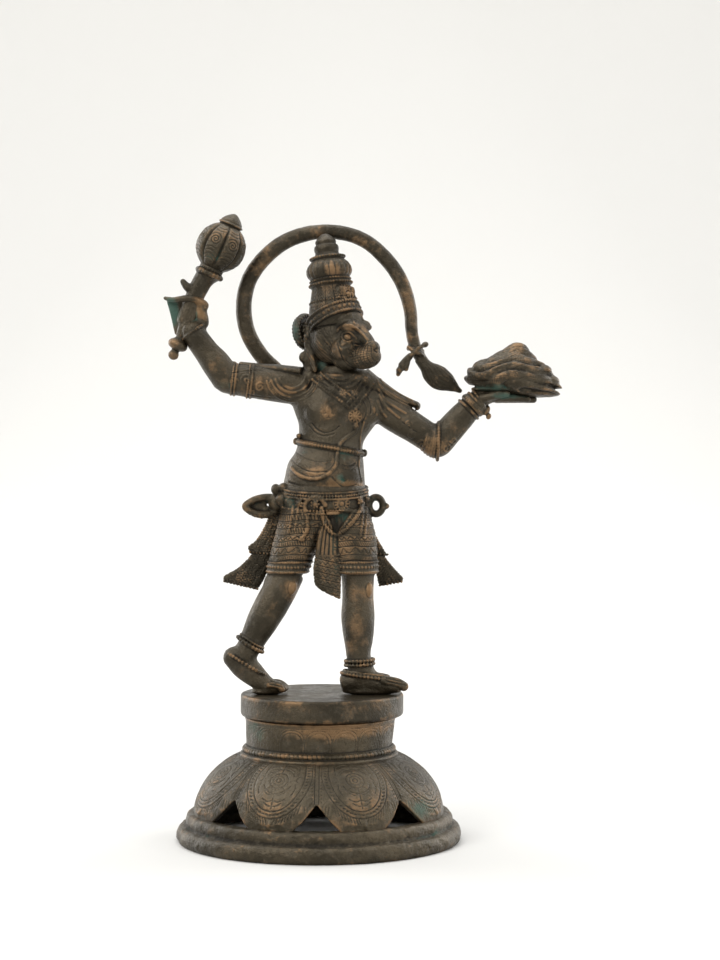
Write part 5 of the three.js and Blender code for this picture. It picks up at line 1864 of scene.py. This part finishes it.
ON_PLATE = Matrix.Translation(Vector((AXIS_X + PLATE_OFFSET, 0, PLATE_TOP)) * MM)
FIGURE_PLACE = ON_PLATE @ Matrix.Scale(UNIT * MM, 4)
PLATE_PLACE = ON_PLATE @ Matrix.Scale(MM, 4)
PEDESTAL_PLACE = Matrix.Translation(Vector((AXIS_X, 0, 0)) * MM) @ Matrix.Scale(MM, 4)
CORD_HEIGHT = 1.8
SPECK = 60


def spots(skin, places):
    """A mask of soft spots on what faces the front: rows are [x, z, half width, half height, strength]."""
    x, _, z = skin.points.T
    facing = np.minimum(1, 1.6 * np.clip(0.35 - skin.normals()[:, 1], 0, 1))
    mask = np.zeros(len(x))
    for middle, level, wide, tall, strength in places:
        gap = ((x - middle) / wide) ** 2 + ((z - level) / tall) ** 2
        mask = np.maximum(mask, strength * np.exp(-gap) * facing)
    return mask


def height_over(points, tree):
    """How far each point lies outside a bare form, up to the height of a cord."""
    height = np.empty(len(points))
    for k, p in enumerate(points.tolist()):
        at, normal, _, gap = tree.find_nearest(p)
        height[k] = gap if (Vector(p) - at).dot(normal) > 0 else 0.0
    return np.clip(height / CORD_HEIGHT, 0, 1)


def drop_specks(mesh):
    """Deletes what thinning leaves of sealed pores: islands of fewer than SPECK points."""
    ends = np.empty(len(mesh.edges) * 2, np.int32)
    mesh.edges.foreach_get("vertices", ends)
    a, b = ends.reshape(-1, 2).T
    island = np.arange(len(mesh.vertices))
    while True:
        low = np.minimum(island[a], island[b])
        linked = island.copy()
        for side in (a, b, island[a], island[b]):
            np.minimum.at(linked, side, low)
        linked = linked[linked]
        if np.array_equal(linked, island):
            break
        island = linked
    loose = np.flatnonzero(np.bincount(island)[island] < SPECK)
    if len(loose):
        shell = bmesh.new()
        shell.from_mesh(mesh)
        shell.verts.ensure_lookup_table()
        bmesh.ops.delete(shell, geom=[shell.verts[int(i)] for i in loose], context="VERTS")
        shell.to_mesh(mesh)
        shell.free()


def keep(mesh, name, values):
    """Keeps a value for each point on the mesh."""
    mesh.attributes.new(name, "FLOAT", "POINT").data.foreach_set("value", values.astype(np.float32))


def piece(name, node, slot, material, place, skin, triangles, fine, broad, worn=(), green=(), bare=None):
    """Finishes a piece. Fine and broad are the heights over two softened surfaces that count as 1."""
    thing = placed(name, mesh_of(name, skin.points, skin.faces))
    dense = thing.data
    small = skin.soft(4)
    keep(dense, "fine", skin.standing_out(small, fine))
    keep(dense, "broad", skin.standing_out(skin.soft(22, small), broad))
    keep(dense, "worn", spots(skin, worn))
    keep(dense, "green", spots(skin, green))
    if len(skin.faces) > triangles:
        thing.modifiers.new("thin", "DECIMATE").ratio = triangles / len(skin.faces)
        thin = evaluated(thing)
        thing.modifiers.clear()
        thing.data = thin
        bpy.data.meshes.remove(dense)
    mesh = thing.data
    drop_specks(mesh)
    keep(mesh, "raised", height_over(arrays_of(mesh)[0], bare) if bare else np.zeros(len(mesh.vertices)))
    mesh.name = name
    mesh.transform(place)
    mesh.shade_smooth()
    mesh.materials.clear()
    mesh.materials.append(material)
    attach(thing, "root")
    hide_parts(node)


def figure_piece(name, skin, triangles, place=FIGURE_PLACE, **looks):
    piece(name, "hanuman_figure", "figure_bronze", FIGURE_BRONZE, place, skin, triangles, **looks)


def pedestal_piece(name, skin, triangles, **looks):
    piece(
        name, "lotus_pedestal", "pedestal_bronze", PEDESTAL_BRONZE, PEDESTAL_PLACE, skin, triangles, **looks,
    )


# Rubbed and green places, as they appear from the front: [x, z, half width, half height, strength].

LOWER_WORN = [
    (0, 160, 60, 34, 0.44), (-29, 104, 8, 11, 1.1), (48, 102, 8, 12, 1.0), (36, 70, 12, 24, 0.45),
    (30, 52, 9, 10, 0.5), (-50, 86, 8, 12, 0.35), (19, 188, 26, 10, 0.35), (44, 168, 5, 18, 0.6),
    (-34, 168, 5, 12, 0.5), (30, 100, 6, 16, 0.4), (78, 6, 8, 5, 0.3), (-46, 6, 8, 5, 0.35),
    (-16, 162, 5, 12, 0.8), (14, 165, 14, 6, 0.5), (-85, 112, 12, 6, 0.3), (70, 112, 10, 6, 0.3),
]
LOWER_GREEN = [
    (-32, 190, 8, 8, 0.55), (-38, 150, 5, 20, 0.35), (12, 148, 5, 14, 0.45), (14, 126, 4, 8, 0.5),
    (52, 190, 6, 9, 0.55), (-60, 187, 10, 5, 0.35), (21, 175, 9, 7, 0.6), (-2, 150, 3, 10, 0.35),
    (20, 96, 4, 8, 0.35),
]
UPPER_WORN = [
    (20, 207, 24, 6, 1.2), (6, 278, 9, 11, 0.9), (33, 276, 7, 9, 0.9), (-70, 306, 30, 12, 0.6),
    (-38, 302, 18, 8, 0.7), (-14, 217, 20, 7, 0.6), (25, 225, 14, 12, 0.25), (112, 244, 20, 14, 0.65),
    (82, 290, 22, 14, 0.25), (-120, 384, 10, 14, 0.65), (-104, 325, 14, 12, 0.3), (-4, 222, 26, 8, 0.45),
    (12, 232, 4, 12, 0.6), (18, 300, 26, 12, 0.18), (130, 262, 12, 12, 0.25),
]
UPPER_GREEN = [
    (-1, 327, 8, 6, 0.75), (-151, 380, 9, 15, 1.5), (-128, 377, 5, 9, 1.1), (20, 214, 8, 8, 0.7),
    (-96, 306, 22, 7, 0.5), (186, 296, 34, 5, 0.8), (-20, 240, 10, 5, 0.4), (0, 244, 12, 5, 0.3),
    (22, 236, 9, 8, 0.5), (-116, 352, 6, 8, 0.3),
]
HEAD_WORN = [
    (24, 400, 9, 9, 0.9), (17, 420, 16, 8, 0.7), (40, 336, 16, 10, 0.45), (14, 382, 26, 8, 0.6),
    (26, 353, 9, 8, 0.7), (30, 362, 18, 6, 0.6), (10, 402, 14, 12, 0.5), (9, 346, 12, 16, 0.35),
]
HEAD_GREEN = [
    (-27, 362, 6, 16, 0.8), (-12, 392, 5, 30, 0.42), (-6, 350, 5, 14, 0.3), (-14, 420, 5, 12, 0.4),
    (42, 352, 5, 4, 0.3), (-20, 380, 5, 10, 0.6),
]
MACE_WORN = [(-108, 392, 7, 24, 0.9), (-146, 348, 6, 8, 0.5), (-92, 455, 18, 12, 0.2)]
MACE_GREEN = [(-151, 380, 9, 15, 1.5), (-108, 434, 16, 14, 0.45), (-133, 378, 5, 8, 0.4)]
ROCK_WORN = [
    (196, 342, 10, 10, 0.6), (205, 330, 20, 10, 0.35), (160, 320, 16, 12, 0.35), (190, 318, 34, 8, 0.3),
    (222, 300, 18, 5, 0.3),
]
ROCK_GREEN = [(168, 303, 24, 6, 0.8), (230, 296, 10, 4, 0.3)]
TAIL_WORN = [
    (-60, 430, 22, 22, 0.42), (0, 458, 50, 7, 0.3), (40, 452, 30, 10, 0.35), (88, 380, 8, 40, 0.3),
    (118, 314, 14, 8, 0.3),
]
TAIL_GREEN = [(-16, 452, 7, 7, 0.3), (88, 341, 7, 7, 0.3)]
PLATE_WORN = [(-16, -2, 18, 3.5, 0.35), (22, -3, 12, 4, 0.4), (0, -10, 26, 2, 0.2)]
DOME_WORN = [
    (-25, 22, 10, 8, 0.35), (22, 24, 11, 8, 0.35), (0, 18, 60, 4, 0.22), (-52, 22, 8, 8, 0.4),
    (52, 22, 8, 8, 0.3),
]
DOME_GREEN = [(48, 20, 9, 7, 0.7), (-56, 24, 7, 8, 0.35), (-30, 36, 10, 4, 0.25), (26, 17, 8, 4, 0.4)]
RING_WORN = [(0, 10, 60, 3, 0.14), (-50, 9, 12, 4, 0.2)]
RING_GREEN = [(-52, 5, 14, 4, 0.4), (54, 8, 12, 5, 0.45), (0, 13, 50, 2, 0.15)]
NECK_WORN = [
    (10, 56.4, 23, 3.8, 1.5), (24, 58, 9, 2.4, 0.6), (-16, 58.6, 18, 1.2, 0.4), (-12, 44.5, 12, 2.4, 0.6),
    (-14, 53, 18, 4, 0.2),
]
NECK_GREEN = [(-30, 54, 7, 8, 0.6), (-22, 57, 10, 3, 0.4), (30, 50, 6, 8, 0.35)]

lower_skin, lower_form = dressed(lower_flesh(), sash(), all_toes(), lower_ornaments, lower_lines)
LOWER_LOOKS = {"fine": 0.30, "broad": 0.9, "worn": LOWER_WORN, "green": LOWER_GREEN, "bare": lower_form}
figure_piece("lower_body", lower_skin, 195000, **LOWER_LOOKS)
stole = [REAR_FALL.shell(), FRONT_FALL.shell()]
fingers = gripping_fingers() + open_fingers()
upper_skin, upper_form = dressed(upper_flesh(), stole, fingers, upper_ornaments, upper_lines)
UPPER_LOOKS = {"fine": 0.30, "broad": 0.9, "worn": UPPER_WORN, "green": UPPER_GREEN, "bare": upper_form}
figure_piece("upper_body", upper_skin, 195000, **UPPER_LOOKS)
figure_piece("head", head(), 120000, fine=0.26, broad=0.85, worn=HEAD_WORN, green=HEAD_GREEN)
figure_piece("mace", mace(), 60000, fine=0.28, broad=1.0, worn=MACE_WORN, green=MACE_GREEN)
figure_piece("mountain", mountain(), 50000, fine=0.3, broad=1.0, worn=ROCK_WORN, green=ROCK_GREEN)
figure_piece("tail", tail(), 40000, fine=0.3, broad=1.2, worn=TAIL_WORN, green=TAIL_GREEN)
figure_piece("plate", plate(), 20000, place=PLATE_PLACE, fine=0.2, broad=0.9, worn=PLATE_WORN)
pedestal_piece("lotus_dome", lotus(), 160000, fine=0.14, broad=0.55, worn=DOME_WORN, green=DOME_GREEN)
pedestal_piece("base_ring", base_ring(), 50000, fine=0.22, broad=0.9, worn=RING_WORN, green=RING_GREEN)
pedestal_piece("neck", neck(), 80000, fine=0.14, broad=0.55, worn=NECK_WORN, green=NECK_GREEN)

# Floor, light and camera, in metres.

SWEEP_HALF_WIDTH = 4.0
SWEEP_BACK = 1.2
SWEEP_BEND = 0.8
FIGURE_MIDDLE = Vector((AXIS_X * MM, 0, 0.15))


def sweep_white():
    """Matt white; the floor near the object is a little darker, so that its soft shadow shows. The backdrop's
    white is painted lighter, to make up for the less light that reaches it.
    """
    material, g = material_of("sweep_white")
    colour = g.mix(g.field("far"), FLOOR_WHITE, BACKDROP_WHITE)
    g.finish(Base_Color=colour, Roughness=0.9)
    return material


def sweep():
    """Floor and backdrop in one smooth bend."""
    profile = [(-2.4, 0.0), (0.35, 0.0), (SWEEP_BACK, 0.0)]
    for a in np.linspace(0, math.pi / 2, 16)[1:]:
        profile.append((SWEEP_BACK + SWEEP_BEND * math.sin(a), SWEEP_BEND - SWEEP_BEND * math.cos(a)))
    profile.append((SWEEP_BACK + SWEEP_BEND, 3.2))
    points = [(x, y, z) for y, z in profile for x in (-SWEEP_HALF_WIDTH, SWEEP_HALF_WIDTH)]
    faces = [(2 * i, 2 * i + 1, 2 * i + 3, 2 * i + 2) for i in range(len(profile) - 1)]
    mesh = bpy.data.meshes.new("sweep")
    mesh.from_pydata(points, [], faces)
    mesh.shade_smooth()
    keep(mesh, "far", np.array(points)[:, 1] > 1.0)
    mesh.materials.append(sweep_white())
    thing = placed("sweep", mesh)


def softbox(name, at, size, power, colour=(1, 1, 1)):
    """A rectangular light that faces the figure's middle."""
    light = bpy.data.lights.new(name, "AREA")
    light.shape = "RECTANGLE"
    light.size, light.size_y = size
    light.energy = power
    light.color = colour
    thing = placed(name, light)
    thing.location = at
    thing.rotation_euler = (FIGURE_MIDDLE - Vector(at)).to_track_quat("-Z", "Y").to_euler()


sweep()
softbox("key", (-0.9, -1.0, 1.15), (0.9, 0.9), 20, (1, 0.985, 0.96))
softbox("fill", (1.15, -0.75, 0.55), (0.8, 1.1), 8, (1, 0.99, 0.97))
softbox("top", (0.0, 0.15, 1.35), (1.2, 0.9), 15)
softbox("rim_left", (-1.1, 0.75, 0.6), (0.7, 1.2), 12)
softbox("rim_right", (1.1, 0.75, 0.6), (0.7, 1.2), 12)

world = bpy.data.worlds.new("studio")
world.use_nodes = True
sky = Graph(world.node_tree)
background = sky.add("ShaderNodeBackground", {"Color": (1.0, 0.99, 0.965, 1), "Strength": 0.55})
sky.add("ShaderNodeOutputWorld", {"Surface": background.outputs["Background"]})
bpy.context.scene.world = world

lens = bpy.data.cameras.new("camera")
lens.sensor_width = SENSOR
lens.lens = FOCAL_PIXELS * SENSOR / IMAGE_HEIGHT
lens.shift_y = (HORIZON_ROW - IMAGE_HEIGHT / 2) / IMAGE_HEIGHT
lens.clip_start = 0.05
camera = placed("camera", lens)
camera.location = EYE
camera.rotation_euler = (math.pi / 2, 0, 0)
bpy.context.scene.camera = camera
bpy.context.scene.view_settings.view_transform = "Standard"
